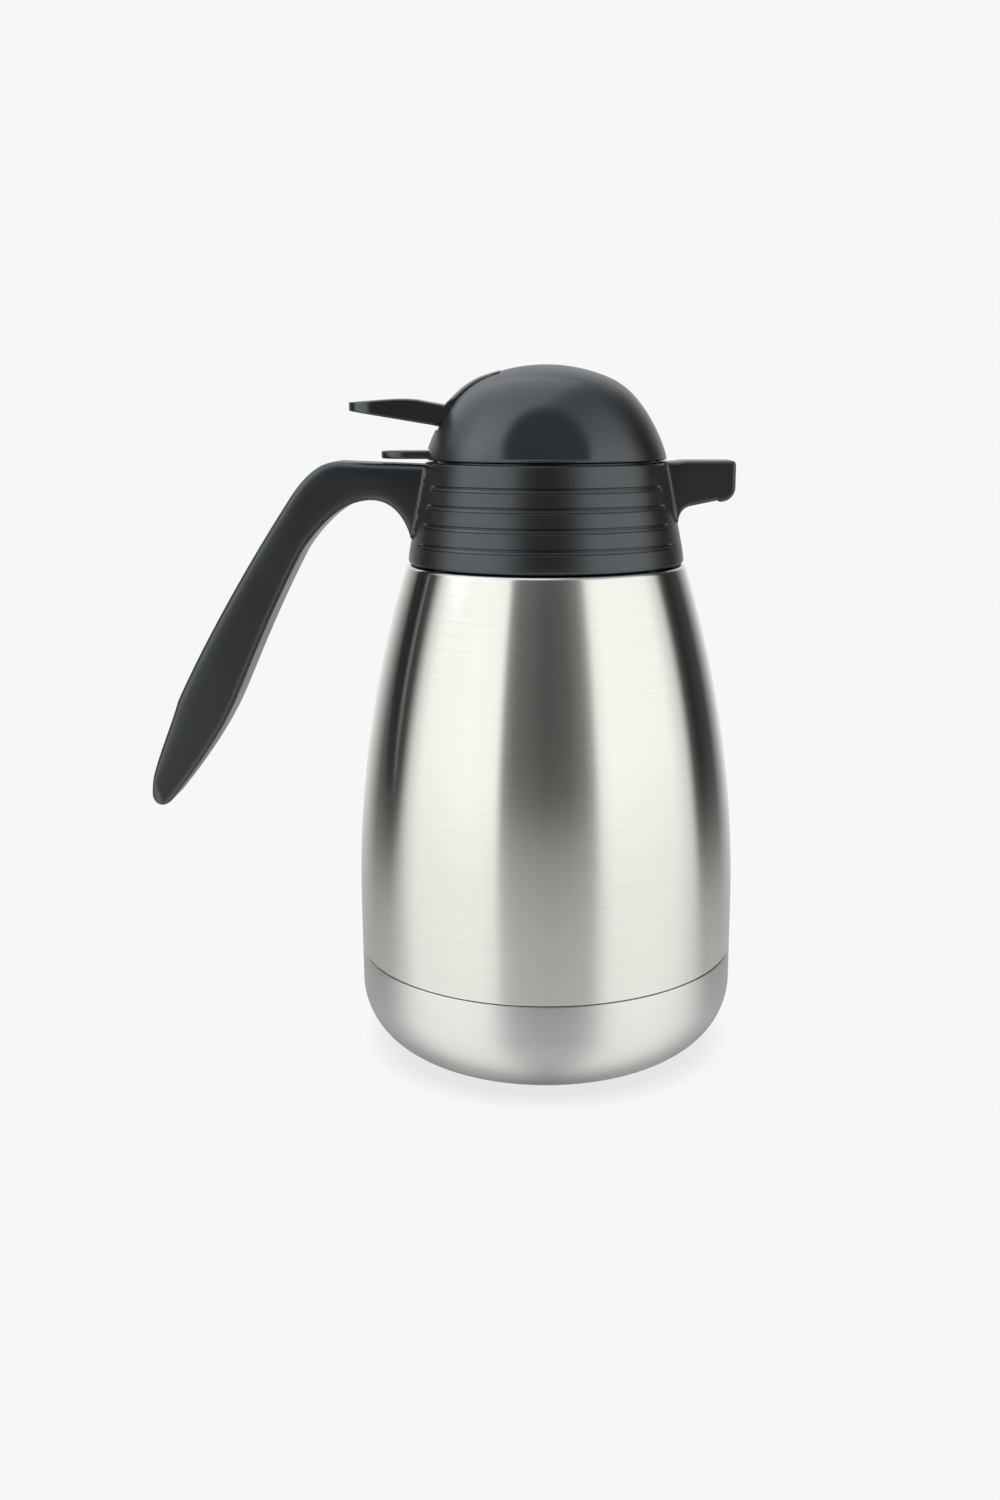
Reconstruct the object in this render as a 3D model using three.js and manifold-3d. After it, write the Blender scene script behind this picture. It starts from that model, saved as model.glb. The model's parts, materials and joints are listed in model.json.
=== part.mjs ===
// Insulated coffee pot: a double-walled steel vacuum bottle with a moulded collar, handle and spout,
// and a domed lid whose thumb lever lifts a spring-loaded valve in the stopper.
// Millimetres, +Z up. The origin is the centre of the foot, the spout points along +X.
import * as THREE from "three";
import { mergeVertices } from "three/addons/utils/BufferGeometryUtils.js";
import Module from "manifold-3d";

const wasm = await Module();
wasm.setup();

// ---------- driving dimensions ----------
const WALL_R = 65.8; // widest radius of the steel body
const FOOT_ROUND = 23.5; // radius of the rounding between wall and foot
const TAPER_START_Z = 52; // below this height the wall is upright
const TAPER_R = 385; // radius of the long arc that draws the wall in
const SEAM_Z = 35.8; // top edge of the separate base cup
const SHEET = 0.6; // steel sheet thickness
const VACUUM_GAP = 4.5; // clear space between the two steel walls

const COLLAR_BOTTOM_Z = 170.6;
const COLLAR_TOP_Z = 204.0;
const COLLAR_BOTTOM_R = 46.7;
const COLLAR_TOP_R = 40.5;
const COLLAR_WALL = 2.2;
const GROOVE_Z = [197.1, 191.1, 184.9, 178.5]; // upper edge of each decorative groove
const GROOVE_HEIGHT = 1.7;
const GROOVE_DEPTH = 0.6;
const GROOVE_END_Y = 18.5; // the grooves end this far from the plane of the handle

const NECK_R = 33.4; // outside of the steel neck
const SHOULDER_Z = 175.0; // where the steel shoulder meets the neck
const MOUTH_Z = 186.0; // top of the steel neck
const HANDLE_WIDTH = 22;
const SPOUT_WIDTH = 20;

const LID_Z = 204.8; // underside of the lid, just clear of the collar
const DOME_R = 40.0; // radius of the dome's rim
const DOME_RIM_Z = 205.2; // where the curved part of the dome starts
const DOME_WALL = 2.0;
const DOME_ARCS = [
  // radius of each arc of the dome's outline, and the slope of its normal at both ends
  { radius: 43.1, from: 12, to: 40 },
  { radius: 25.2, from: 40, to: 68 },
  { radius: 56.0, from: 68, to: 90 },
];
const GRIP_R = 13; // floor radius of the finger recesses in the dome's sides
const GRIP_FLOOR_Y = 34.2;
const GRIP_BOTTOM_Z = 205.9; // a thin rim runs on below each recess

const LEVER_WIDTH = 18;
const TAB_WIDTH = 18; // the fixed tab under the lever
const THUMB_ROUND = 8.5; // corner radius of the lever's and the tab's free ends, seen from above
const PIVOT = { x: -29, z: 213.5 }; // axis of the thumb lever, along Y
const PIN_R = 1.4;
const HOOD_SLOT_X = -17; // front end of the slot that the lever's hood covers
const FORK_TIP_X = 5; // the lever's fork lifts the stem head at this distance
const FORK_TOP_Z = 216.0;
const STEM_R = 2.0;
const VALVE_SEAT_Z = 178.0; // top face of the stopper's floor
const SCREW_CIRCLE_R = 28.8;

const ROUND = 44; // sides of a large round piece
const HIDDEN_ROUND = 32; // sides of a large round piece inside the pot
const SMALL_ROUND = 24; // sides of a small round piece

// ---------- materials ----------
function material(color, roughness, metalness) {
  return new THREE.MeshStandardMaterial({ color, roughness, metalness });
}
const BRUSHED_STEEL = material(0xb9b7b1, 0.3, 1.0);
const PLAIN_STEEL = material(0xa8a8a6, 0.4, 1.0);
const MATTE_BLACK = material(0x1b1c1e, 0.55, 0.0);
const GLOSS_BLACK = material(0x121214, 0.2, 0.0);
const NATURAL_PLASTIC = material(0xd8d8d4, 0.5, 0.0);
const SILICONE = material(0xe4e4e0, 0.6, 0.0);
const GETTER_METAL = material(0x6f6f72, 0.6, 0.8);

// ---------- solids ----------
const rad = THREE.MathUtils.degToRad;

// A manifold solid of a closed three.js geometry, without the slivers that poles leave.
function solid(geometry) {
  const bare = geometry.index ? geometry.toNonIndexed() : geometry.clone();
  bare.deleteAttribute("normal");
  bare.deleteAttribute("uv");
  const merged = mergeVertices(bare, 1e-4);
  const corners = merged.index.array;
  const triVerts = [];
  for (let i = 0; i < corners.length; i += 3) {
    const [a, b, c] = corners.slice(i, i + 3);
    if (a !== b && b !== c && a !== c) triVerts.push(a, b, c);
  }
  const vertProperties = merged.attributes.position.array;
  const mesh = new wasm.Mesh({ numProp: 3, vertProperties, triVerts: new Uint32Array(triVerts) });
  return new wasm.Manifold(mesh);
}

// A closed outline of [radius, z] points turned about the Z axis, in either order.
function turned(outline, sides = ROUND) {
  let doubleArea = 0;
  outline.forEach(([r, z], i) => {
    const [nextR, nextZ] = outline[(i + 1) % outline.length];
    doubleArea += r * nextZ - nextR * z;
  });
  const ordered = doubleArea > 0 ? outline : [...outline].reverse();
  const points = [...ordered, ordered[0]].map(([r, z]) => new THREE.Vector2(r, z));
  return solid(new THREE.LatheGeometry(points, sides).rotateX(Math.PI / 2));
}

function ring(innerR, outerR, bottomZ, topZ, sides = HIDDEN_ROUND) {
  return turned([[innerR, bottomZ], [outerR, bottomZ], [outerR, topZ], [innerR, topZ]], sides);
}

// A cylinder along Z, or a cone where the two radii differ.
function post(r, bottomZ, topZ, { topR = r, x = 0, y = 0, sides = SMALL_ROUND } = {}) {
  const shape = new THREE.CylinderGeometry(topR, r, topZ - bottomZ, sides).rotateX(Math.PI / 2);
  return solid(shape.translate(x, y, (bottomZ + topZ) / 2));
}

// A cylinder along Y between two values of y.
function crossPost(r, lowY, highY, { highR = r, x = 0, z = 0, sides = SMALL_ROUND } = {}) {
  const shape = new THREE.CylinderGeometry(highR, r, highY - lowY, sides);
  return solid(shape.translate(x, (lowY + highY) / 2, z));
}

function block([lowX, lowY, lowZ], [highX, highY, highZ]) {
  const shape = new THREE.BoxGeometry(highX - lowX, highY - lowY, highZ - lowZ);
  return solid(shape.translate((lowX + highX) / 2, (lowY + highY) / 2, (lowZ + highZ) / 2));
}

// A side outline in the XZ plane, given as a THREE.Shape, thickened evenly about Y with rounded edges.
function slab(shape, width, edge = 0, curveSegments = 6) {
  const geometry = new THREE.ExtrudeGeometry(shape, {
    depth: width - 2 * edge,
    bevelEnabled: edge > 0,
    bevelThickness: edge,
    bevelSize: edge,
    bevelOffset: -edge,
    bevelSegments: 2,
    curveSegments,
  });
  geometry.translate(0, 0, -width / 2 + edge).rotateX(Math.PI / 2);
  return solid(geometry);
}

// Two distances from the mid-plane as a low and a high y, on the side given by +1 or -1.
function between(near, far, side) {
  return side > 0 ? [near, far] : [-far, -near];
}

function arcPoints(centreR, centreZ, radius, fromDegrees, toDegrees, steps) {
  return Array.from({ length: steps + 1 }, (_, i) => {
    const angle = rad(fromDegrees + ((toDegrees - fromDegrees) * i) / steps);
    return [centreR + radius * Math.cos(angle), centreZ + radius * Math.sin(angle)];
  });
}

const pot = new THREE.Group();
const lid = new THREE.Group();
pot.add(lid);

// One named node. Vertices that a boolean left almost on top of each other are drawn together first.
function addPiece(name, body, look, parent = pot) {
  const { vertProperties, triVerts } = body.simplify(0.01).getMesh();
  const geometry = new THREE.BufferGeometry();
  geometry.setAttribute("position", new THREE.BufferAttribute(vertProperties, 3));
  geometry.setIndex(new THREE.BufferAttribute(triVerts, 1));
  geometry.computeVertexNormals();
  const mesh = new THREE.Mesh(geometry, look);
  mesh.name = name;
  parent.add(mesh);
}

// ---------- steel vacuum bottle ----------
// Outside radius of the steel wall above the foot rounding, less an inset.
function wallRadius(z, inset = 0) {
  const above = Math.max(0, z - TAPER_START_Z);
  return WALL_R - (TAPER_R - Math.sqrt(TAPER_R ** 2 - above ** 2)) - inset;
}

function wallPoints(bottomZ, topZ, inset, steps = 7) {
  return Array.from({ length: steps + 1 }, (_, i) => {
    const z = bottomZ + ((topZ - bottomZ) * i) / steps;
    return [wallRadius(z, inset), z];
  });
}

// The outer shell: a skirt inside the base cup, the tapering wall, a rounded shoulder edge and the neck.
function makeOuterShell() {
  const skirtInset = SHEET + 0.3;
  const skirtZ = 22;
  const edgeZ = COLLAR_BOTTOM_Z - 1.6;
  const ledgeR = wallRadius(edgeZ) - 1.6;
  const ledgeZ = COLLAR_BOTTOM_Z - 0.3;
  const flatR = COLLAR_BOTTOM_R - COLLAR_WALL - 1.4;
  const outside = [
    [WALL_R - skirtInset, skirtZ],
    [WALL_R - skirtInset, SEAM_Z + 0.15],
    ...wallPoints(SEAM_Z + 0.15, edgeZ, 0),
    [ledgeR + 1.2, edgeZ + 0.9],
    [ledgeR, ledgeZ],
    [flatR, ledgeZ],
    [NECK_R + 0.6, SHOULDER_Z],
    [NECK_R, SHOULDER_Z + 0.8],
    [NECK_R, MOUTH_Z - SHEET - 0.1],
  ];
  const inside = [
    [NECK_R - SHEET, MOUTH_Z - SHEET - 0.1],
    [NECK_R - SHEET, SHOULDER_Z + 0.2],
    [flatR - 0.2, ledgeZ - SHEET],
    [ledgeR - 0.2, ledgeZ - SHEET],
    [ledgeR + 0.6, edgeZ + 0.4],
    ...wallPoints(SEAM_Z + 1.2, edgeZ - 0.4, SHEET, 5).reverse(),
    [WALL_R - skirtInset - SHEET, SEAM_Z - 0.5],
    [WALL_R - skirtInset - SHEET, skirtZ],
  ];
  return turned([...outside, ...inside]);
}

// The base cup pressed over the skirt. Its foot has a flat centre and a raised stiffening ring around it.
function makeBaseCup() {
  const footR = WALL_R - FOOT_ROUND;
  const innerRound = FOOT_ROUND - SHEET;
  const [recessInR, recessOutR, recessZ] = [22, 36, 2.2];
  const outside = [
    [0, 0],
    [recessInR, 0],
    [recessInR + 2, recessZ],
    [recessOutR - 2, recessZ],
    [recessOutR, 0],
    ...arcPoints(footR, FOOT_ROUND, FOOT_ROUND, -90, 0, 8),
    [WALL_R, SEAM_Z - 0.15],
  ];
  const inside = [
    [WALL_R - SHEET, SEAM_Z - 0.15],
    ...arcPoints(footR, FOOT_ROUND, innerRound, 0, -90, 5),
    [recessOutR + 0.3, SHEET],
    [recessOutR - 1.7, recessZ + SHEET],
    [recessInR + 1.7, recessZ + SHEET],
    [recessInR - 0.3, SHEET],
    [0, SHEET],
  ];
  return turned([...outside, ...inside]);
}

// The welded disc that closes the outer wall under vacuum, dished to follow the base cup.
function makeVacuumBase() {
  const rimR = WALL_R - 2 * SHEET - 0.7;
  const [rimZ, floorZ, corner] = [25, 8, 14];
  const outside = [
    [3.2, floorZ],
    ...arcPoints(rimR - corner, floorZ + corner, corner, -90, 0, 4),
    [rimR, rimZ],
  ];
  const inside = [
    [rimR - SHEET, rimZ],
    ...arcPoints(rimR - corner, floorZ + corner, corner - SHEET, 0, -90, 4),
    [3.2, floorZ + SHEET],
  ];
  return turned([...outside, ...inside], HIDDEN_ROUND);
}

const LINER_BASE_Z = 34; // weld between the liner's wall and its bottom
const linerInset = SHEET + VACUUM_GAP;

// The inner bottle's wall, drawn in to the neck and rolled out over the mouth.
function makeLiner() {
  const topZ = 160;
  const neckR = NECK_R - SHEET - 1.2;
  const shoulder = [[neckR + 7.5, 168.5], [neckR + 0.6, 172.5], [neckR, 174]];
  const outside = [
    ...wallPoints(LINER_BASE_Z, topZ, linerInset, 5),
    ...shoulder,
    [neckR, MOUTH_Z - SHEET],
    [NECK_R, MOUTH_Z - SHEET],
    [NECK_R, MOUTH_Z],
  ];
  const inside = [
    [neckR - SHEET, MOUTH_Z],
    ...shoulder.map(([r, z]) => [r - SHEET, z - 0.3]).reverse(),
    ...wallPoints(LINER_BASE_Z, topZ, linerInset + SHEET, 5).reverse(),
  ];
  return turned([...outside, ...inside], HIDDEN_ROUND);
}

function makeLinerBase() {
  const r = WALL_R - linerInset;
  const [floorZ, corner] = [13.5, 16];
  const topZ = LINER_BASE_Z - 0.15;
  const outside = [[0, floorZ], ...arcPoints(r - corner, floorZ + corner, corner, -90, 0, 5), [r, topZ]];
  const inside = [
    [r - SHEET, topZ],
    ...arcPoints(r - corner, floorZ + corner, corner - SHEET, 0, -90, 5),
    [0, floorZ + SHEET],
  ];
  return turned([...outside, ...inside], HIDDEN_ROUND);
}

addPiece("outer_shell", makeOuterShell(), BRUSHED_STEEL);
addPiece("base_cup", makeBaseCup(), BRUSHED_STEEL);
addPiece("vacuum_base", makeVacuumBase(), PLAIN_STEEL);
addPiece("liner", makeLiner(), PLAIN_STEEL);
addPiece("liner_base", makeLinerBase(), PLAIN_STEEL);
// The bead that seals the evacuation hole, and the gas getter tablet beside it.
addPiece("vacuum_seal", turned([[0, 7.0], [2.6, 7.6], [2.9, 8.2], [2.6, 9.4], [0, 10.0]], 16), GETTER_METAL);
addPiece("getter", post(6, 8.8, 12, { x: 22, sides: 16 }), GETTER_METAL);

// ---------- collar, spout and handle ----------
function collarRadius(z) {
  const flareZ = 177; // below this the cone turns upright
  const slope = (COLLAR_BOTTOM_R - COLLAR_TOP_R) / (COLLAR_TOP_Z - flareZ) * 0.87;
  const onCone = COLLAR_TOP_R + slope * (COLLAR_TOP_Z - Math.max(z, flareZ));
  const below = Math.max(0, flareZ - z) / (flareZ - COLLAR_BOTTOM_Z);
  return onCone + (COLLAR_BOTTOM_R - onCone) * Math.sin((below * Math.PI) / 2);
}

const BORE_R = 37.0; // bore of the collar's inner sleeve, which takes the neck ring and the lid
const LEDGE_R = 34.4; // bore of the ledge that the neck ring clamps
const LEDGE_Z = 175.9;

function collarOutside(grooves) {
  const edge = 0.8;
  const points = [
    [COLLAR_TOP_R - edge, COLLAR_TOP_Z],
    [COLLAR_TOP_R + 0.05, COLLAR_TOP_Z - edge],
  ];
  for (const top of grooves) {
    const bottom = top - GROOVE_HEIGHT;
    points.push([collarRadius(top), top], [collarRadius(top) - GROOVE_DEPTH, top - 0.2]);
    points.push([collarRadius(bottom) - GROOVE_DEPTH, bottom + 0.2], [collarRadius(bottom), bottom]);
  }
  points.push([collarRadius(175.4), 175.4], [collarRadius(173.2), 173.2]);
  points.push([COLLAR_BOTTOM_R, COLLAR_BOTTOM_Z + edge], [COLLAR_BOTTOM_R - edge, COLLAR_BOTTOM_Z]);
  return [...points, [0, COLLAR_BOTTOM_Z], [0, COLLAR_TOP_Z]];
}

// The collar's hollow: the bore, the ledge under it, and a moulding recess between sleeve and outer wall.
function collarHollow() {
  const skirtR = COLLAR_BOTTOM_R - COLLAR_WALL - 0.8;
  const sleeveR = BORE_R + COLLAR_WALL;
  return turned([
    [0, COLLAR_BOTTOM_Z - 1],
    [skirtR, COLLAR_BOTTOM_Z - 1],
    [skirtR, LEDGE_Z],
    [collarRadius(178) - COLLAR_WALL - 0.4, 178],
    [collarRadius(186) - COLLAR_WALL - 0.4, 186],
    [sleeveR + 0.1, 196],
    [sleeveR, LEDGE_Z],
    [LEDGE_R, LEDGE_Z],
    [LEDGE_R, LEDGE_Z + COLLAR_WALL],
    [BORE_R, LEDGE_Z + COLLAR_WALL],
    [BORE_R, COLLAR_TOP_Z + 1],
    [0, COLLAR_TOP_Z + 1],
  ]);
}

// Side view of the handle: level top, open arch below it, and a blade that narrows to a round tip.
function handleOutline() {
  const shape = new THREE.Shape();
  shape.moveTo(-38, 203.2);
  shape.lineTo(-66, 204.25);
  shape.bezierCurveTo(-69.7, 204.4, -76.6, 206.4, -86.8, 191.5);
  shape.bezierCurveTo(-112.1, 154.7, -127.1, 125, -127.8, 123.1);
  shape.bezierCurveTo(-131.4, 112.8, -138.6, 97.6, -138.6, 88.6);
  shape.bezierCurveTo(-138.6, 84.6, -133.9, 84.2, -130.8, 87.8);
  shape.bezierCurveTo(-129.5, 89.3, -113.5, 108.5, -105.9, 125.1);
  shape.bezierCurveTo(-98.6, 141.1, -92.6, 155.1, -82.1, 174.1);
  shape.bezierCurveTo(-81.2, 175.8, -72.8, 187.8, -64, 190.7);
  shape.bezierCurveTo(-49.4, 195.7, -45.5, 181, -45.3, 179);
  shape.lineTo(-38, 177);
  return shape;
}

function spoutOutline() {
  const shape = new THREE.Shape();
  shape.moveTo(38, 204.2);
  shape.lineTo(63.3, 204.2);
  shape.lineTo(63.3, 197.7);
  shape.bezierCurveTo(63.3, 192.5, 61.4, 190.9, 57.5, 190.9);
  shape.lineTo(48.5, 189.3);
  shape.bezierCurveTo(45.8, 188.6, 44.4, 187, 44, 184.5);
  shape.lineTo(38, 184.5);
  return shape;
}

function makeCollar() {
  const handle = slab(handleOutline(), HANDLE_WIDTH, 2.5);
  const spout = slab(spoutOutline(), SPOUT_WIDTH, 2);
  // The grooves stop short of the handle and the spout.
  const plainBand = block([-60, -GROOVE_END_Y, 160], [60, GROOVE_END_Y, 210]);
  const plain = turned(collarOutside([])).intersect(plainBand);
  const filled = turned(collarOutside(GROOVE_Z)).add(plain).add(handle).add(spout);
  const ductHalf = SPOUT_WIDTH / 2 - 0.5;
  const duct = block([BORE_R + 0.8, -ductHalf, 190.6], [47, ductHalf, 203.4]).intersect(filled);
  const channel = block([30, -7, 192.6], [66, 7, 201.6]);
  return filled.subtract(collarHollow()).add(duct).subtract(channel);
}

addPiece("collar", makeCollar(), MATTE_BLACK);

// ---------- neck ring and its seals ----------
const STOPPER_BORE_R = 28.6;
const SLEEVE_BOTTOM_Z = 174.6; // the ring's sleeve reaches down to the stopper's seal
const NECK_RING_TOP_Z = 189.8;
const LUG_COUNT = 3;
const LUG_DEGREES = 52;

// Short rising ridges, equally spaced, that stand for the quick thread between stopper and neck ring.
function addLugs(body, rootR, crestR, bottomZ, phaseDegrees) {
  const [height, rise, steps] = [1.8, 1.2, 4];
  let result = body;
  for (let lug = 0; lug < LUG_COUNT; lug++) {
    for (let i = 0; i < steps; i++) {
      const start = phaseDegrees + (lug * 360) / LUG_COUNT + (i * LUG_DEGREES) / steps;
      const z = bottomZ + (rise * i) / steps;
      const [low, high] = [Math.min(rootR, crestR), Math.max(rootR, crestR)];
      const sector = new THREE.Shape();
      sector.absarc(0, 0, high, rad(start), rad(start + LUG_DEGREES / steps + 1), false);
      sector.absarc(0, 0, low, rad(start + LUG_DEGREES / steps + 1), rad(start), true);
      const options = { depth: height, bevelEnabled: false, curveSegments: 2 };
      result = result.add(solid(new THREE.ExtrudeGeometry(sector, options).translate(0, 0, z)));
    }
  }
  return result;
}

// The threaded ring screwed on the steel neck: it clamps the collar's ledge and takes the stopper.
function makeNeckRing() {
  const outerR = BORE_R - 0.3;
  const flangeZ = 187.4;
  const body = turned(
    [
      [STOPPER_BORE_R, SLEEVE_BOTTOM_Z],
      [STOPPER_BORE_R, NECK_RING_TOP_Z],
      [outerR, NECK_RING_TOP_Z],
      [outerR, NECK_RING_TOP_Z - 0.9],
      [outerR - 1.1, NECK_RING_TOP_Z - 0.9],
      [outerR - 1.1, NECK_RING_TOP_Z - 1.9],
      [outerR, NECK_RING_TOP_Z - 1.9],
      [outerR, LEDGE_Z + COLLAR_WALL + 0.2],
      [NECK_R + 0.3, LEDGE_Z + COLLAR_WALL + 0.2],
      [NECK_R + 0.3, flangeZ],
      [STOPPER_BORE_R + 1.8, flangeZ],
      [STOPPER_BORE_R + 1.8, SLEEVE_BOTTOM_Z],
    ],
    HIDDEN_ROUND,
  );
  return addLugs(body, STOPPER_BORE_R + 0.3, STOPPER_BORE_R - 0.4, 186.6, 20);
}

const neckGasket = ring(STOPPER_BORE_R + 2.1, NECK_R, MOUTH_Z + 0.1, 187.3);
const collarSeal = ring(BORE_R - 1.3, BORE_R - 0.2, NECK_RING_TOP_Z - 1.8, NECK_RING_TOP_Z - 1.0);

addPiece("neck_ring", makeNeckRing(), NATURAL_PLASTIC);
addPiece("neck_gasket", neckGasket, SILICONE);
addPiece("collar_seal", collarSeal, SILICONE);

// ---------- lid ----------
const lidTopOfBase = LID_Z + 2.8;

// Outline of the dome from its rim to its top, inset towards the centre of each arc.
function domePoints(inset, stepsPerArc) {
  const first = DOME_ARCS[0];
  let centreR = DOME_R - first.radius * Math.cos(rad(first.from));
  let centreZ = DOME_RIM_Z - first.radius * Math.sin(rad(first.from));
  const points = [];
  DOME_ARCS.forEach(({ radius, from, to }, i) => {
    const arc = arcPoints(centreR, centreZ, radius - inset, from, to, stepsPerArc);
    points.push(...(i ? arc.slice(1) : arc));
    const next = DOME_ARCS[i + 1];
    if (!next) return;
    centreR += (radius - next.radius) * Math.cos(rad(to));
    centreZ += (radius - next.radius) * Math.sin(rad(to));
  });
  points.at(-1)[0] = 0; // the crown closes on the axis
  return points;
}

function makeDome() {
  const outside = turned([[0, LID_Z], [DOME_R - 0.3, LID_Z], ...domePoints(0, 4)]);
  const inside = turned([[0, LID_Z - 1], [DOME_R - DOME_WALL, LID_Z - 1], ...domePoints(DOME_WALL, 3)]);
  let shell = outside.subtract(inside);
  // Finger recesses: a pad inside each side of the dome carries the floor of the recess.
  for (const side of [1, -1]) {
    const [lowY, highY] = between(GRIP_FLOOR_Y - DOME_WALL, 42, side);
    const pad = crossPost(GRIP_R + 4, lowY, highY, { z: LID_Z, sides: 32 }).intersect(outside);
    const floor = GRIP_FLOOR_Y * side;
    const rim = 44 * side;
    const wide = GRIP_R + 44 - GRIP_FLOOR_Y;
    const cut =
      side > 0
        ? crossPost(GRIP_R, floor, rim, { highR: wide, z: LID_Z, sides: 32 })
        : crossPost(wide, rim, floor, { highR: GRIP_R, z: LID_Z, sides: 32 });
    shell = shell.add(pad).subtract(cut.trimByPlane([0, 0, 1], GRIP_BOTTOM_Z));
  }
  const slotHalf = LEVER_WIDTH / 2 + 0.5;
  const slot = block([-50, -slotHalf, 214.4], [HOOD_SLOT_X, slotHalf, 250]);
  const springSeat = post(3.2, 229.6, 234, { sides: 16 });
  return shell.subtract(slot).add(springSeat);
}

function screwPlaces() {
  return [45, 135, 225, 315].map((degrees) => [
    SCREW_CIRCLE_R * Math.cos(rad(degrees)),
    SCREW_CIRCLE_R * Math.sin(rad(degrees)),
  ]);
}

// The disc under the dome, with the rear tab, the stem's guide tube and the two ears of the lever pin.
function makeLidBase() {
  const baseR = DOME_R - DOME_WALL - 1.0;
  const disc = turned([[0, LID_Z], [baseR, LID_Z], [baseR, lidTopOfBase], [0, lidTopOfBase]]);
  const tab = new THREE.Shape();
  const [tabHalf, tabEndX, tabRound] = [TAB_WIDTH / 2, -55.2, THUMB_ROUND];
  tab.moveTo(-34, -tabHalf);
  tab.lineTo(-34, tabHalf);
  tab.lineTo(tabEndX + tabRound, tabHalf);
  tab.absarc(tabEndX + tabRound, tabHalf - tabRound, tabRound, Math.PI / 2, Math.PI, false);
  tab.absarc(tabEndX + tabRound, tabRound - tabHalf, tabRound, Math.PI, 1.5 * Math.PI, false);
  const tabOptions = { depth: 2.4, bevelEnabled: false, curveSegments: 5 };
  const tabSolid = solid(new THREE.ExtrudeGeometry(tab, tabOptions).translate(0, 0, 205.7));
  let base = disc.add(tabSolid).add(post(4.5, 192.2, lidTopOfBase + 1));
  for (const side of [1, -1]) {
    const [lowY, highY] = between(LEVER_WIDTH / 2 + 0.6, LEVER_WIDTH / 2 + 3, side);
    const ear = crossPost(3, lowY, highY, { x: PIVOT.x, z: PIVOT.z });
    const web = block([PIVOT.x - 2.9, lowY, LID_Z + 1], [PIVOT.x + 2.9, highY, PIVOT.z]);
    base = base.add(ear).add(web);
  }
  base = base.subtract(post(STEM_R + 0.4, 190, 212));
  for (const side of [1, -1]) {
    const [lowY, highY] = between(GRIP_FLOOR_Y - DOME_WALL - 0.3, 42, side);
    base = base.subtract(block([-GRIP_R - 4.6, lowY, 200], [GRIP_R + 4.6, highY, 212]));
  }
  base = base.subtract(crossPost(PIN_R + 0.3, -14, 14, { x: PIVOT.x, z: PIVOT.z, sides: 16 }));
  for (const [x, y] of screwPlaces()) base = base.subtract(post(1.75, 200, 212, { x, y, sides: 12 }));
  return base;
}

// A notch in the dome's rim lets the tab out.
function makeDomeWithTabNotch() {
  const half = TAB_WIDTH / 2 + 0.4;
  return makeDome().subtract(block([-60, -half, 204], [-30, half, 208.4]));
}

// The stopper: a narrow cup below, a wider chamber with a window towards the spout, and a flange.
function makeStopperCup() {
  const [cupR, chamberR, wall] = [27.2, 34.0, 2.0];
  const floorZ = 175.5;
  const body = turned([
    [10, floorZ],
    [24.6, floorZ],
    [24.6, floorZ + 3.2],
    [cupR, floorZ + 3.2],
    [cupR, 190.4],
    [chamberR, 190.4],
    [chamberR, 200.8],
    [36.5, 200.8],
    [36.5, LID_Z - 0.2],
    [25, LID_Z - 0.2],
    [25, 202.2],
    [chamberR - wall, 202.2],
    [chamberR - wall, 192.2],
    [cupR - wall, 192.2],
    [cupR - wall, 182],
    [22.6, VALVE_SEAT_Z],
    [10, VALVE_SEAT_Z],
  ], HIDDEN_ROUND);
  const window = block([20, -11, 193.2], [40, 11, 198.4]);
  let cup = addLugs(body, cupR - 0.3, cupR + 0.7, 183.6, 24).subtract(window);
  for (const [x, y] of screwPlaces()) {
    const boss = post(2.9, 196.4, 203, { x, y, sides: 12 });
    cup = cup.add(boss).subtract(post(1.75, 197.2, 206, { x, y, sides: 12 }));
  }
  return cup;
}

// Side view of the lever: thumb plate, the hood that runs up the dome, the hub and the lifting arm.
function leverOutline() {
  const armBottomZ = FORK_TOP_Z - 2.8;
  const shape = new THREE.Shape();
  shape.moveTo(-65.7, 223.5);
  shape.bezierCurveTo(-54, 224.6, -45, 224.8, -33.6, 222.4);
  shape.bezierCurveTo(-28.5, 227.8, -21.5, 233.4, -7.5, 235.2);
  shape.lineTo(-7.5, 234.95);
  shape.bezierCurveTo(-12, 234.6, -15, 233.7, -18.2, 232.6);
  shape.lineTo(-18.2, 231.2);
  shape.bezierCurveTo(-24, 228.5, -28, 224.5, -29.5, 221.5);
  shape.lineTo(-25.4, FORK_TOP_Z);
  shape.lineTo(FORK_TIP_X, FORK_TOP_Z);
  shape.lineTo(FORK_TIP_X, armBottomZ);
  shape.lineTo(PIVOT.x + 3.4, armBottomZ - 1.2);
  shape.bezierCurveTo(PIVOT.x + 3, 209.6, PIVOT.x - 3, 209.2, PIVOT.x - 3.4, PIVOT.z);
  shape.bezierCurveTo(PIVOT.x - 3.6, 215.2, -34.6, 216.3, -37.4, 216.7);
  shape.lineTo(-65.7, 221.2);
  return shape;
}

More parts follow.
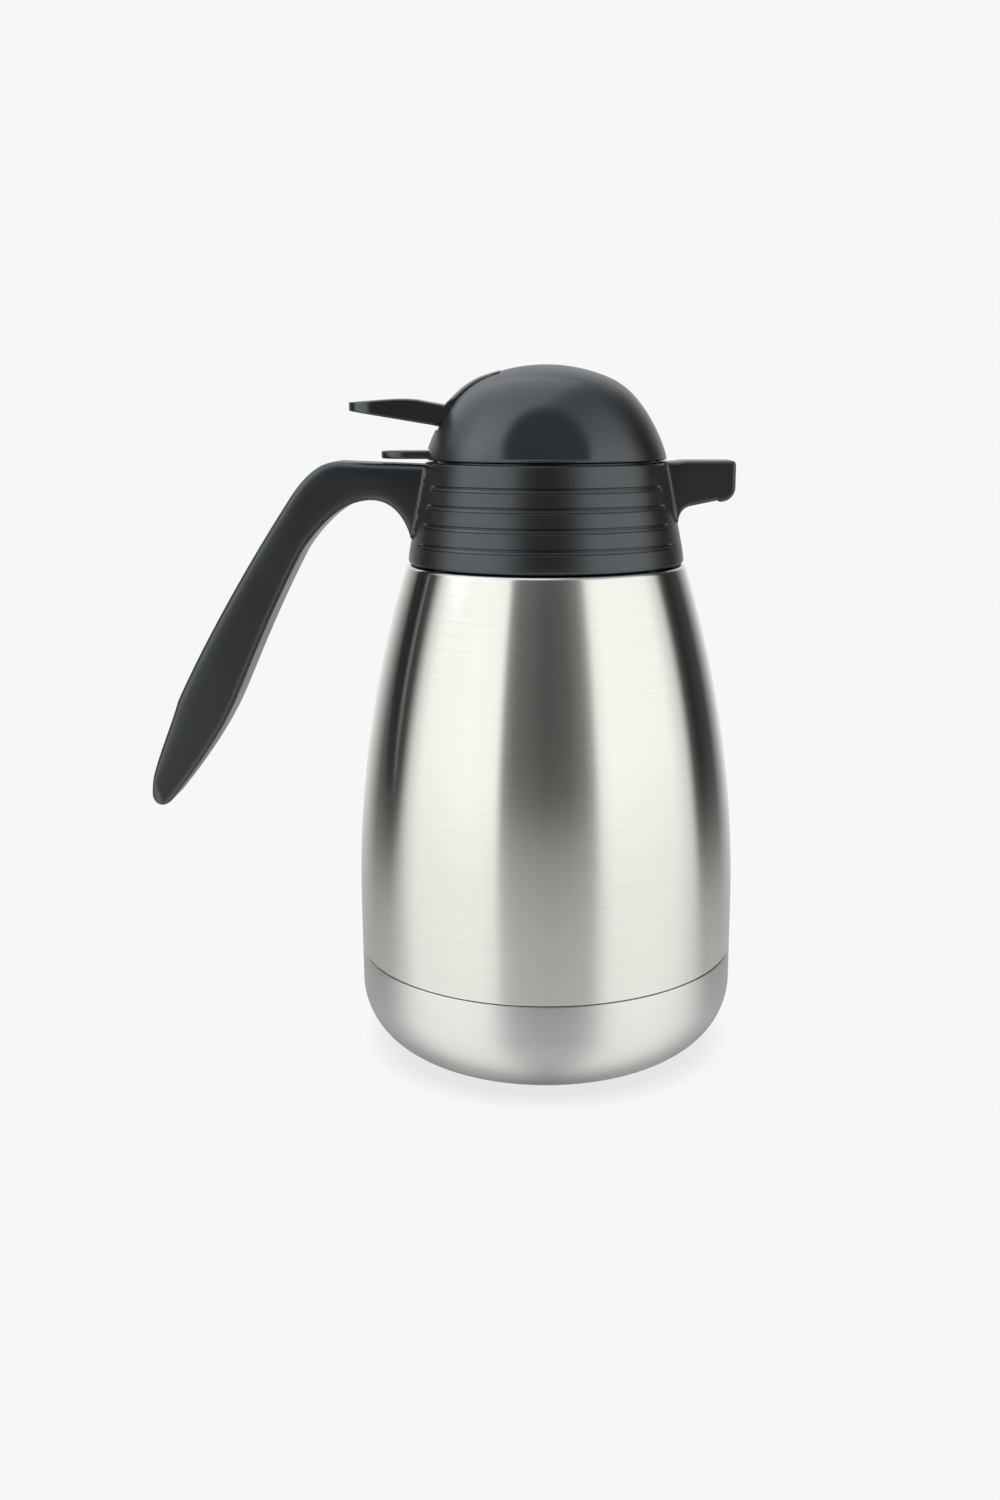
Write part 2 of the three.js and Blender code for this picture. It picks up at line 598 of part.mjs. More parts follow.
function makeLever() {
  const plan = new THREE.Shape(); // rounded thumb end, seen from above
  const [half, tipX, round] = [LEVER_WIDTH / 2, -65.7, THUMB_ROUND];
  plan.moveTo(12, -half);
  plan.lineTo(12, half);
  plan.lineTo(tipX + round, half);
  plan.absarc(tipX + round, half - round, round, Math.PI / 2, Math.PI, false);
  plan.absarc(tipX + round, round - half, round, Math.PI, 1.5 * Math.PI, false);
  const planOptions = { depth: 50, bevelEnabled: false, curveSegments: 6 };
  const planSolid = solid(new THREE.ExtrudeGeometry(plan, planOptions).translate(0, 0, 200));
  const fork = block([-7, -3.2, 200], [12, 3.2, 220]);
  const hubBore = crossPost(PIN_R + 0.3, -14, 14, { x: PIVOT.x, z: PIVOT.z, sides: 16 });
  return slab(leverOutline(), LEVER_WIDTH).intersect(planSolid).subtract(fork).subtract(hubBore);
}

class Helix extends THREE.Curve {
  constructor(radius, bottomZ, topZ, turns) {
    super();
    Object.assign(this, { radius, bottomZ, topZ, turns });
  }
  getPoint(t, target = new THREE.Vector3()) {
    const angle = 2 * Math.PI * this.turns * t;
    const z = this.bottomZ + (this.topZ - this.bottomZ) * t;
    return target.set(this.radius * Math.cos(angle), this.radius * Math.sin(angle), z);
  }
}

const HEAD_BOTTOM_Z = FORK_TOP_Z + 0.3;
const HEAD_TOP_Z = HEAD_BOTTOM_Z + 2;

function makeSpring() {
  const wireR = 0.45;
  const path = new Helix(4.2, HEAD_TOP_Z + 0.7, 230.6, 5);
  const wire = new THREE.Shape();
  wire.absarc(0, 0, wireR, 0, 2 * Math.PI, false);
  const options = { steps: 60, extrudePath: path, curveSegments: 3, bevelEnabled: false };
  return solid(new THREE.ExtrudeGeometry(wire, options));
}

// A seal whose outer edge widens upwards, so that it wipes the bore it is pushed into.
function taperedSeal(innerR, lowR, highR, bottomZ, topZ) {
  return turned([[innerR, bottomZ], [lowR, bottomZ], [highR, topZ], [innerR, topZ]], HIDDEN_ROUND);
}

addPiece("dome", makeDomeWithTabNotch(), MATTE_BLACK, lid);
addPiece("lid_base", makeLidBase(), GLOSS_BLACK, lid);
addPiece("stopper_cup", makeStopperCup(), MATTE_BLACK, lid);
addPiece("stopper_seal", taperedSeal(24.9, 27.4, 28.0, 175.6, 178.3), SILICONE, lid);
addPiece("lid_gasket", taperedSeal(34.3, 36.2, 36.7, 198.6, 200.5), SILICONE, lid);
addPiece("stem_seal", ring(STEM_R + 0.2, 4.8, 190.6, 192.0, SMALL_ROUND), SILICONE, lid);

const leverPin = crossPost(PIN_R, -12.6, 12.6, { x: PIVOT.x, z: PIVOT.z, sides: 16 });
const stemHead = ring(STEM_R + 0.1, 6.0, HEAD_BOTTOM_Z, HEAD_TOP_Z, SMALL_ROUND);

addPiece("lever", makeLever(), GLOSS_BLACK, lid);
addPiece("lever_pin", leverPin, PLAIN_STEEL, lid);
addPiece("valve_spring", makeSpring(), PLAIN_STEEL, lid);
addPiece("valve_stem", post(STEM_R, 176.6, 220.4, { sides: 16 }), PLAIN_STEEL, lid);
addPiece("stem_head", stemHead, NATURAL_PLASTIC, lid);
addPiece("valve_plug", ring(STEM_R + 0.1, 14, 179.8, 182.6), NATURAL_PLASTIC, lid);
addPiece("valve_gasket", ring(9.2, 13.2, VALVE_SEAT_Z + 0.1, 179.7), SILICONE, lid);
screwPlaces().forEach(([x, y], i) => {
  const shank = post(1.5, 197.5, lidTopOfBase + 1, { x, y, sides: 10 });
  const head = post(2.8, lidTopOfBase + 0.2, lidTopOfBase + 2, { x, y, sides: 12 });
  addPiece(`lid_screw_${i + 1}`, shank.add(head), PLAIN_STEEL, lid);
});

export default pot;
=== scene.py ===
"""The looks of an insulated coffee pot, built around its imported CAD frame.

Outlines are in millimetres in the frame's own axes: +Z up, the spout along +X, the handle along -X.
"""

import json
import math

import bmesh
import bpy
import numpy as np
from mathutils import Matrix, Vector

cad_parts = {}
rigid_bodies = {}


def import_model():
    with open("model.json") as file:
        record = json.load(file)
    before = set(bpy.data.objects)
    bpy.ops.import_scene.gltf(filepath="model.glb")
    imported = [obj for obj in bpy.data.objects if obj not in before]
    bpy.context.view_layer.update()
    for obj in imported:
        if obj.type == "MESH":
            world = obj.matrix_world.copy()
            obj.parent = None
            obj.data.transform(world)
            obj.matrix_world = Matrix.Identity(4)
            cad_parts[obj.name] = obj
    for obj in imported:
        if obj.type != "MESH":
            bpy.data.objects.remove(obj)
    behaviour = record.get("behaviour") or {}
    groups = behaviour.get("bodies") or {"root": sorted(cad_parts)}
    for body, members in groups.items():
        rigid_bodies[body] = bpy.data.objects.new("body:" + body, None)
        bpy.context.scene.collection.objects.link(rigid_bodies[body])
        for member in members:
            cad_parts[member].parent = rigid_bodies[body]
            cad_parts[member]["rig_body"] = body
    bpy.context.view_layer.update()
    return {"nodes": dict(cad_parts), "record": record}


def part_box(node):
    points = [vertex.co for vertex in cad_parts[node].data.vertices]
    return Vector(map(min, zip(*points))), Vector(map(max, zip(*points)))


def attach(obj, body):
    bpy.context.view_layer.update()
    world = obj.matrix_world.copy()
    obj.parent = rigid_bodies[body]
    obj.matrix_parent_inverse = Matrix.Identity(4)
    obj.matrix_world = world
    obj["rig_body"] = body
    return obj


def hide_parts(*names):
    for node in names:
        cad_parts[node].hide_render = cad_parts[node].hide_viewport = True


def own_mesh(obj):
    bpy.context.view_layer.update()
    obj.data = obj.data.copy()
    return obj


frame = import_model()

MM = 0.001  # one millimetre in metres
TAU = 2 * math.pi
RING_STEPS = 480  # points around the collar and the dome


def low(node):
    return np.array(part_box(node)[0]) / MM


def high(node):
    return np.array(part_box(node)[1]) / MM


# ---------- driving dimensions, from the frame where a node's box gives them ----------
WALL_R = high("base_cup")[1]
FOOT_ROUND = 23.5  # rounding between wall and foot
TAPER_START_Z = 52  # below this height the wall is upright
TAPER_R = 385  # long arc that draws the wall in
SEAM_GAP = 0.3
SEAM_Z = high("base_cup")[2] + SEAM_GAP / 2
SHEET = 0.6  # steel sheet thickness
NECK_R = 33.4
MOUTH_Z = high("liner")[2]

COLLAR_BOTTOM_Z = 170.6
COLLAR_TOP_Z = 204.0
COLLAR_BOTTOM_R = high("collar")[1]
COLLAR_TOP_R = 40.5
COLLAR_WALL = 2.2
BORE_R = 37.0
LEDGE_R = 34.4
LEDGE_Z = 175.9
GROOVE_TOPS = (197.1, 191.1, 184.9, 178.5)
GROOVE_HEIGHT = 1.7
GROOVE_DEPTH = 1.2
GROOVE_END_Y = 18.5  # the grooves end this far from the plane of the handle

LID_Z = low("dome")[2]
DOME_R = 40.0
DOME_RIM_Z = 205.2
DOME_WALL = 2.0
DOME_ARCS = ((43.1, 12, 40), (25.2, 40, 68), (56.0, 68, 90))  # radius, slope of the normal at both ends
GRIP_BOTTOM_Z = 205.9
GRIP_BOTTOM_Y = 38.2  # the flat's distance from the middle at its bottom
GRIP_LEAN = 0.355  # how far it leans inwards per unit of height

PIVOT_X, PIVOT_Z = -29.0, 213.5
LEVER_HALF = high("lever")[1]
LEVER_TIP_X = low("lever")[0]
TAB_TIP_X = low("lid_base")[0]
THUMB_ROUND = 8.9
STOPPER_BORE_R = 28.6
VALVE_SEAT_Z = 178.0


# ---------- outlines ----------
def arc(centre_a, centre_b, radius, start, end, steps):
    """Points on an arc between two angles in degrees."""
    angles = np.radians(np.linspace(start, end, steps + 1))
    return np.stack([centre_a + radius * np.cos(angles), centre_b + radius * np.sin(angles)], 1)


def curve(start, *parts, steps=24):
    """Points along a path: a part of one point is a straight line, a part of three is a cubic curve."""
    t = np.linspace(0, 1, steps + 1)[1:, None]
    points = [np.array([start], float)]
    for part in parts:
        p0 = points[-1][-1]
        if len(part) == 1:
            points.append(p0 + (np.array(part[0]) - p0) * t)
        else:
            p1, p2, p3 = (np.array(p, float) for p in part)
            s = 1 - t
            points.append(s**3 * p0 + 3 * s**2 * t * p1 + 3 * s * t**2 * p2 + t**3 * p3)
    return np.concatenate(points)


def along(points, shares):
    """The points at given shares of a path's length."""
    steps = np.hypot(*np.diff(points, axis=0).T)
    reached = np.concatenate([[0], np.cumsum(steps)])
    return np.stack([np.interp(np.asarray(shares) * reached[-1], reached, axis) for axis in points.T], 1)


def rounded(corners, steps=4):
    """A closed outline of (a, b) corners. A third number draws that corner as an arc of that radius."""
    points = []
    for i, corner in enumerate(corners):
        here = np.array(corner[:2], float)
        if len(corner) < 3:
            points.append(here)
            continue
        before = np.array(corners[i - 1][:2]) - here
        after = np.array(corners[(i + 1) % len(corners)][:2]) - here
        room = 0.49 * min(np.linalg.norm(before), np.linalg.norm(after))
        before /= np.linalg.norm(before)
        after /= np.linalg.norm(after)
        half = math.acos(np.clip(before @ after, -1, 1)) / 2
        reach = min(corner[2] / math.tan(half), room)
        radius = reach * math.tan(half)
        middle = before + after
        centre = here + middle / np.linalg.norm(middle) * radius / math.sin(half)
        start = here + before * reach - centre
        end = here + after * reach - centre
        first = math.atan2(start[1], start[0])
        sweep = math.atan2(start[0] * end[1] - start[1] * end[0], start @ end)
        for angle in first + sweep * np.linspace(0, 1, steps + 1):
            points.append(centre + radius * np.array([math.cos(angle), math.sin(angle)]))
    return np.array(points)


def smooth(x, start, end):
    t = np.clip((x - start) / (end - start), 0, 1)
    return t * t * (3 - 2 * t)


# ---------- meshes ----------
def make(name, points, faces):
    """A mesh object from points in millimetres, with doubled points merged and faces turned outwards."""
    mesh = bpy.data.meshes.new(name)
    mesh.from_pydata((np.asarray(points) * MM).tolist(), [], faces)
    work = bmesh.new()
    work.from_mesh(mesh)
    bmesh.ops.remove_doubles(work, verts=work.verts, dist=2e-7)
    bmesh.ops.recalc_face_normals(work, faces=work.faces)
    work.to_mesh(mesh)
    work.free()
    obj = bpy.data.objects.new(name, mesh)
    bpy.context.scene.collection.objects.link(obj)
    return obj


def grid_faces(rows, columns, wrap_rows):
    index = np.arange(rows * columns).reshape(rows, columns)
    if wrap_rows:
        index = np.vstack([index, index[:1]])
    a, b = index[:-1], index[1:]
    quads = np.stack([a, np.roll(a, -1, 1), np.roll(b, -1, 1), b], -1)
    return quads.reshape(-1, 4).tolist()


def lathe_points(outline, segments, cut=None):
    """Rows of points of an outline turned about Z. cut(x, y, z) may move them."""
    outline = np.asarray(outline, float)
    angles = np.arange(segments) * TAU / segments
    r, z = outline[:, :1], outline[:, 1:]
    rows = np.stack([r * np.cos(angles), r * np.sin(angles), z + 0 * angles], -1)
    return cut(rows) if cut else rows


def lathe(name, outline, segments=192, cut=None):
    """A closed (r, z) outline turned about Z, or one whose two ends are on the axis."""
    rows = lathe_points(outline, segments, cut)
    on_axis = max(abs(outline[0][0]), abs(outline[-1][0])) < 1e-6
    return make(name, rows.reshape(-1, 3), grid_faces(len(rows), segments, not on_axis))


def loft(name, rings):
    """Closed rings joined into a solid. Each end is closed on its own middle."""
    rings = np.asarray(rings)
    ends = [np.repeat(ring.mean(0, keepdims=True), rings.shape[1], 0) for ring in (rings[0], rings[-1])]
    rows = np.concatenate([ends[:1], rings, ends[1:]])
    return make(name, rows.reshape(-1, 3), grid_faces(len(rows), rings.shape[1], False))


def inset(outline, distance):
    """A closed outline drawn in by a distance."""
    before = outline - np.roll(outline, 1, 0)
    after = np.roll(outline, -1, 0) - outline
    before /= np.linalg.norm(before, axis=1, keepdims=True)
    after /= np.linalg.norm(after, axis=1, keepdims=True)
    tangent = before + after
    tangent /= np.linalg.norm(tangent, axis=1, keepdims=True)
    inward = np.stack([-tangent[:, 1], tangent[:, 0]], 1)
    x, y = outline.T
    area = (x * np.roll(y, -1) - np.roll(x, -1) * y).sum()
    return outline + inward * distance * (1 if area > 0 else -1)


def prism(name, outline, bottom, top, edge=0.0, along_y=False, steps=4):
    """An outline given depth, with its rims rounded by edge. It lies in XY, or in XZ when it runs along Y."""
    outline = np.asarray(outline, float)
    keep = np.linalg.norm(outline - np.roll(outline, 1, 0), axis=1) > 1e-4
    outline = outline[keep]
    levels = [(bottom, 0.0), (top, 0.0)]
    if edge:
        turns = np.linspace(0, math.pi / 2, steps + 1)
        rim = [(edge * (1 - math.sin(a)), edge * (1 - math.cos(a))) for a in turns]
        levels = [(bottom + lift, drawn) for lift, drawn in rim[::-1]]
        levels += [(top - lift, drawn) for lift, drawn in rim]
    rows = []
    for height, drawn in levels:
        ring = inset(outline, drawn)
        flat = np.full((len(ring), 1), height)
        rows.append(np.hstack([ring[:, :1], flat, ring[:, 1:]] if along_y else [ring, flat]))
    count = len(outline)
    faces = grid_faces(len(rows), count, False)
    faces.append(list(range(count)))
    faces.append(list(range((len(rows) - 1) * count, len(rows) * count)))
    return make(name, np.concatenate(rows), faces)


def ring_section(lower, upper, half, edge, sides=14, corner=6):
    """A rounded rectangle across a piece, from its lower to its upper (x, z) point and half to each side."""
    lower, upper = np.asarray(lower, float), np.asarray(upper, float)
    height = max(np.linalg.norm(upper - lower), 1e-3)
    edge = min(edge, height / 2 * 0.999, half * 0.999)
    v = np.linspace(height - edge, edge, sides)
    w = np.linspace(half - edge, edge - half, sides)
    parts = [np.stack([np.full(sides, half), v], 1)]
    parts.append(arc(half - edge, edge, edge, 0, -90, corner)[1:-1])
    parts.append(np.stack([w, np.zeros(sides)], 1))
    parts.append(arc(edge - half, edge, edge, 270, 180, corner)[1:-1])
    parts.append(np.stack([np.full(sides, -half), v[::-1]], 1))
    parts.append(arc(edge - half, height - edge, edge, 180, 90, corner)[1:-1])
    parts.append(np.stack([w[::-1], np.full(sides, height)], 1))
    parts.append(arc(half - edge, height - edge, edge, 90, 0, corner)[1:-1])
    y, v = np.concatenate(parts).T
    share = v[:, None] / height
    place = lower + (upper - lower) * share
    return np.stack([place[:, 0], y, place[:, 1]], 1)


def applied(obj):
    """The object with its modifiers made part of its mesh."""
    graph = bpy.context.evaluated_depsgraph_get()
    mesh = bpy.data.meshes.new_from_object(obj.evaluated_get(graph))
    obj.modifiers.clear()
    obj.data = mesh
    return obj


def combine(base, tool, operation):
    """base joined with tool (UNION) or cut by it (DIFFERENCE). The tool is used up."""
    modifier = base.modifiers.new("combine", "BOOLEAN")
    modifier.operation = operation
    modifier.object = tool
    modifier.solver = "MANIFOLD"
    bpy.context.view_layer.update()
    applied(base)
    bpy.data.objects.remove(tool)
    return base


def moved(obj, x=0.0, y=0.0, z=0.0):
    obj.data.transform(Matrix.Translation(Vector((x, y, z)) * MM))
    return obj


# ---------- materials ----------
def add(tree, kind, inputs=(), **settings):
    """A shader node with its settings, its inputs set to values or linked to other nodes' sockets."""
    made = tree.nodes.new("ShaderNode" + kind)
    for key, value in settings.items():
        setattr(made, key, value)
    for key, value in dict(inputs).items():
        if isinstance(value, bpy.types.NodeSocket):
            tree.links.new(value, made.inputs[key])
        else:
            made.inputs[key].default_value = value
    return made


def blank(name):
    material = bpy.data.materials.new(name)
    material.use_nodes = True
    material.node_tree.nodes.clear()
    return material, material.node_tree


def noise(tree, scale, detail=2.0, roughness=0.5, stretch=(1, 1, 1)):
    """Seeded noise in the object's own space. scale is in features per metre along each axis of stretch."""
    place = add(tree, "TexCoord").outputs["Object"]
    spread = add(tree, "Mapping", {"Vector": place, "Scale": stretch}).outputs["Vector"]
    texture = add(
        tree,
        "TexNoise",
        {"Vector": spread, "Scale": scale, "Detail": detail, "Roughness": roughness},
    )
    return texture.outputs["Fac"]


def remap(tree, value, low_out, high_out, low_in=0.3, high_in=0.7):
    inputs = {"Value": value, "From Min": low_in, "From Max": high_in, "To Min": low_out, "To Max": high_out}
    return add(tree, "MapRange", inputs).outputs["Result"]


def tinted(tree, colour, amount):
    """A colour made darker or lighter by a value around 1."""
    return add(
        tree,
        "Mix",
        {"Factor": 1.0, "A": colour, "B": amount},
        data_type="RGBA",
        blend_type="MULTIPLY",
    ).outputs["Result"]


def bump(tree, height, distance, strength=1.0, normal=None):
    inputs = {"Height": height, "Distance": distance, "Strength": strength}
    if normal is not None:
        inputs["Normal"] = normal
    return add(tree, "Bump", inputs).outputs["Normal"]


def finish_surface(tree, inputs):
    shader = add(tree, "BsdfPrincipled", inputs)
    add(tree, "OutputMaterial", {"Surface": shader.outputs["BSDF"]})


def brushed_steel(name, colour, smoothest, roughest):
    """Steel brushed around the body: fine level lines in its colour, its gloss and its surface."""
    material, tree = blank(name)
    lines = noise(tree, 1.0, detail=1, roughness=0.6, stretch=(18, 18, 2400))
    tangent = add(tree, "Tangent", direction_type="RADIAL", axis="Z").outputs["Tangent"]
    inputs = {
        "Base Color": tinted(tree, (*colour, 1), remap(tree, lines, 0.98, 1.02)),
        "Metallic": 1.0,
        "Roughness": remap(tree, lines, smoothest, roughest),
        "Anisotropic": 0.8,
        "Anisotropic Rotation": 0.25,
        "Tangent": tangent,
        "Normal": bump(tree, lines, 0.0000002, 1.0),
    }
    finish_surface(tree, inputs)
    return material


def plain_metal(name, colour, smoothest, roughest, grain):
    material, tree = blank(name)
    cloud = noise(tree, grain, detail=4, roughness=0.6)
    scratches = noise(tree, 1.0, detail=2, stretch=(90, 2400, 2400))
    inputs = {
        "Base Color": tinted(tree, (*colour, 1), remap(tree, cloud, 0.88, 1.06)),
        "Metallic": 1.0,
        "Roughness": remap(tree, scratches, smoothest, roughest),
        "Normal": bump(tree, scratches, 0.00001, 0.3),
    }
    finish_surface(tree, inputs)
    return material


def moulded_plastic(name, colour, smoothest, roughest, texture, extra=()):
    """Moulded plastic: an eroded texture a fraction of a millimetre wide, and a slow change in gloss."""
    material, tree = blank(name)
    grain = noise(tree, 1700, detail=3, roughness=0.6)
    cloud = noise(tree, 34, detail=3, roughness=0.55)
    grazing = add(tree, "LayerWeight", {"Blend": 0.5}).outputs["Facing"]
    inputs = {
        "Base Color": tinted(tree, (*colour, 1), remap(tree, cloud, 0.86, 1.14)),
        "Roughness": remap(tree, cloud, smoothest, roughest),
        "IOR": 1.58,
        "Specular IOR Level": remap(tree, grazing, 0.78, 0.2, 0.55, 0.97),
        # Painted highlight colour: the reflections are tinted cool blue, as the cool top light would make them.
        "Specular Tint": (0.9, 0.96, 1.0, 1),
        "Normal": bump(tree, grain, texture, 0.6),
    }
    inputs.update(dict(extra))
    finish_surface(tree, inputs)
    return material


FINISH = {
    "brushed_steel": brushed_steel("brushed_steel", (0.622, 0.622, 0.582), 0.14, 0.17),
    "base_steel": brushed_steel("base_steel", (0.63, 0.648, 0.618), 0.32, 0.38),
    "plain_steel": plain_metal("plain_steel", (0.62, 0.62, 0.61), 0.22, 0.42, 60),
    "getter_metal": plain_metal("getter_metal", (0.3, 0.3, 0.31), 0.5, 0.7, 900),
    "black_plastic": moulded_plastic("black_plastic", (0.0032, 0.0039, 0.0049), 0.28, 0.36, 0.00002),
    "lever_plastic": moulded_plastic("lever_plastic", (0.005, 0.006, 0.0075), 0.2, 0.27, 0.00001),
    "natural_plastic": moulded_plastic(
        "natural_plastic",
        (0.74, 0.73, 0.69),
        0.34,
        0.44,
        0.000015,
        {"Subsurface Weight": 0.4, "Subsurface Radius": (0.004, 0.004, 0.0035), "Subsurface Scale": 0.5},
    ),
    "silicone": moulded_plastic(
        "silicone",
        (0.76, 0.76, 0.73),
        0.5,
        0.6,
        0.00001,
        {"Subsurface Weight": 0.6, "Subsurface Radius": (0.003, 0.003, 0.003), "Subsurface Scale": 0.5},
    ),
}
SLOT_OF = {part["node"]: part["material_slot"] for part in frame["record"]["subparts"]}
SHARP_ANGLE = math.radians(32)


def stand_in(obj, node, finish=None):
    """obj stands for a CAD node: it takes the node's body, material slot and finish."""
    mesh = obj.data
    mesh.shade_smooth()
    mesh.set_sharp_from_angle(angle=SHARP_ANGLE)
    mesh.materials.clear()
    mesh.materials.append(FINISH[finish or SLOT_OF[node]])
    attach(obj, frame["nodes"][node]["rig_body"])
    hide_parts(node)
    return obj


# ---------- steel vacuum bottle ----------
def wall_radius(z, drawn_in=0.0):
    above = np.maximum(0, np.asarray(z, float) - TAPER_START_Z)
    return WALL_R - (TAPER_R - np.sqrt(TAPER_R**2 - above**2)) - drawn_in


def wall(bottom, top, drawn_in, steps=40):
    z = np.linspace(bottom, top, steps + 1)
    return np.stack([wall_radius(z, drawn_in), z], 1)


def make_outer_shell():
    skirt_r = WALL_R - SHEET - 0.3
    skirt_z = low("outer_shell")[2]
    edge_z = COLLAR_BOTTOM_Z - 1.6
    ledge_z = COLLAR_BOTTOM_Z - 0.3
    start_z = SEAM_Z + SEAM_GAP / 2
    flat_r = COLLAR_BOTTOM_R - COLLAR_WALL - 1.4
    shoulder_z = 175.0
    top_z = MOUTH_Z - SHEET - 0.1
    shoulder_r = float(wall_radius(edge_z))
    outside = np.concatenate(
        [
            rounded([(skirt_r, skirt_z), (skirt_r, start_z), (skirt_r + 0.5, start_z)])[:2],
            arc(WALL_R - 0.35, start_z + 0.35, 0.35, -90, 0, 4),
            wall(start_z + 0.6, edge_z - 0.4, 0, 60),
            arc(shoulder_r - 1.5, edge_z - 0.2, 1.5, 12, 90, 8),
        ]
    )
    neck = rounded(
        [
            (flat_r, ledge_z, 1.0),
            (NECK_R, shoulder_z, 0.8),
            (NECK_R, top_z),
            (NECK_R - SHEET, top_z),
            (NECK_R - SHEET, shoulder_z - 0.4, 0.8),
            (flat_r - 0.2, ledge_z - SHEET, 1.0),
            (shoulder_r - 2.0, ledge_z - SHEET, 0.8),
        ]
    )
    inside = np.concatenate(
        [
            wall(SEAM_Z + 1.2, edge_z - 1.0, SHEET, 40)[::-1],
            [(skirt_r - SHEET, SEAM_Z - 0.5), (skirt_r - SHEET, skirt_z)],
        ]
    )
    return lathe("shell_surface", np.concatenate([outside, neck, inside]), 256)


def make_base_cup():
    foot_r = WALL_R - FOOT_ROUND
    top_z = SEAM_Z - SEAM_GAP / 2
    ring_in, ring_out, ring_z = 22, 36, 2.2
    foot = rounded(
        [
            (0, 0),
            (ring_in, 0, 1.2),
            (ring_in + 2, ring_z, 1.2),
            (ring_out - 2, ring_z, 1.2),
            (ring_out, 0, 1.2),
            (foot_r, 0),
            (foot_r, SHEET),
            (ring_out + 0.3, SHEET, 1.2),
            (ring_out - 1.7, ring_z + SHEET, 1.2),
            (ring_in + 1.7, ring_z + SHEET, 1.2),
            (ring_in - 0.3, SHEET, 1.2),
            (0, SHEET),
        ],
        6,
    )
    split = int(np.argmax(foot[:, 0] >= foot_r - 1e-6)) + 1
    wall_outside = np.concatenate(
        [
            arc(foot_r, FOOT_ROUND, FOOT_ROUND, -90, 0, 40)[1:],
            [(WALL_R, top_z - 0.3)],
            arc(WALL_R - 0.3, top_z - 0.3, 0.3, 0, 90, 4)[1:],
            [(WALL_R - SHEET, top_z)],
            arc(foot_r, FOOT_ROUND, FOOT_ROUND - SHEET, 0, -90, 24),
        ]
    )
    return lathe("cup_surface", np.concatenate([foot[:split], wall_outside, foot[split + 1 :]]), 256)


def bottle_end(name, rim_r, rim_z, floor_z, corner, hole_r):
    """A pressed disc with a rounded corner, open in the middle when hole_r isn't zero."""
    outside = np.concatenate([[(hole_r, floor_z)], arc(rim_r - corner, floor_z + corner, corner, -90, 0, 16)])
    inside = np.concatenate(
        [
            [(rim_r, rim_z), (rim_r - SHEET, rim_z)],
            arc(rim_r - corner, floor_z + corner, corner - SHEET, 0, -90, 16),
            [(hole_r, floor_z + SHEET)],
        ]
    )
    return lathe(name, np.concatenate([outside, inside]))


def make_liner():
    base_z = low("liner")[2]
    gap = WALL_R - high("liner")[1]
    neck_r = NECK_R - SHEET - 1.2
    shoulder = [(neck_r + 7.5, 168.5), (neck_r + 0.6, 172.5), (neck_r, 174)]
    inner_shoulder = [(r - SHEET, z - 0.3) for r, z in shoulder[::-1]]
    outside = rounded(
        [(*shoulder[0], 12), (*shoulder[1], 1), shoulder[2], (neck_r, MOUTH_Z - SHEET, 0.4)]
        + [(NECK_R, MOUTH_Z - SHEET), (NECK_R, MOUTH_Z, 0.3), (neck_r - SHEET, MOUTH_Z, 1.2)]
        + [inner_shoulder[0], (*inner_shoulder[1], 1), (*inner_shoulder[2], 12)]
    )
    rows = [wall(base_z, 160, gap), outside, wall(base_z, 160, gap + SHEET)[::-1]]
    return lathe("liner_surface", np.concatenate(rows))


stand_in(make_outer_shell(), "outer_shell")
stand_in(make_base_cup(), "base_cup", "base_steel")
stand_in(make_liner(), "liner")
stand_in(
    bottle_end("liner_floor", high("liner_base")[1], high("liner_base")[2], low("liner_base")[2], 16, 0),
    "liner_base",
)
stand_in(
    bottle_end("vacuum_floor", high("vacuum_base")[1], high("vacuum_base")[2], low("vacuum_base")[2], 14, 3.2),
    "vacuum_base",
)
getter_low, getter_high = low("getter"), high("getter")
getter_r = (getter_high[0] - getter_low[0]) / 2
stand_in(
    moved(
        lathe(
            "getter_tablet",
            rounded(
                [
                    (0, getter_low[2]),
                    (getter_r, getter_low[2], 0.5),
                    (getter_r, getter_high[2], 0.5),
                    (getter_r * 0.5, getter_high[2], 0.3),
                    (getter_r * 0.4, getter_high[2] - 0.4, 0.3),
                    (0, getter_high[2] - 0.4),
                ]
            ),
            64,
        ),
        x=(getter_high[0] + getter_low[0]) / 2,
    ),
    "getter",
)
stand_in(
    lathe("seal_bead", curve((0, 7.0), [(2.4, 7.0), (2.9, 7.6), (2.9, 8.2)], [(2.9, 9.2), (1.6, 10), (0, 10)]), 48),
    "vacuum_seal",
)


# ---------- collar, handle and spout ----------
def collar_radius(z):
    """The collar's outside radius: a cone above, which turns upright towards the bottom edge."""
    flare_z = 177
    slope = (COLLAR_BOTTOM_R - COLLAR_TOP_R) / (COLLAR_TOP_Z - flare_z) * 0.87
    on_cone = COLLAR_TOP_R + slope * (COLLAR_TOP_Z - np.maximum(z, flare_z))
    below = np.maximum(0, flare_z - z) / (flare_z - COLLAR_BOTTOM_Z)
    return on_cone + (COLLAR_BOTTOM_R - on_cone) * np.sin(below * math.pi / 2)


# The section of a groove: (distance below its upper edge, share of its full depth).
GROOVE = (
    (-0.12, 0.0),
    (-0.02, 0.1),
    (0.0, 1.0),
    (0.66, 1.0),
    (0.72, 0.32),
    (GROOVE_HEIGHT - 0.3, 0.2),
    (GROOVE_HEIGHT - 0.26, 0.6),
    (GROOVE_HEIGHT - 0.02, 0.6),
    (GROOVE_HEIGHT + 0.02, 0.08),
    (GROOVE_HEIGHT + 0.12, 0.0),
)


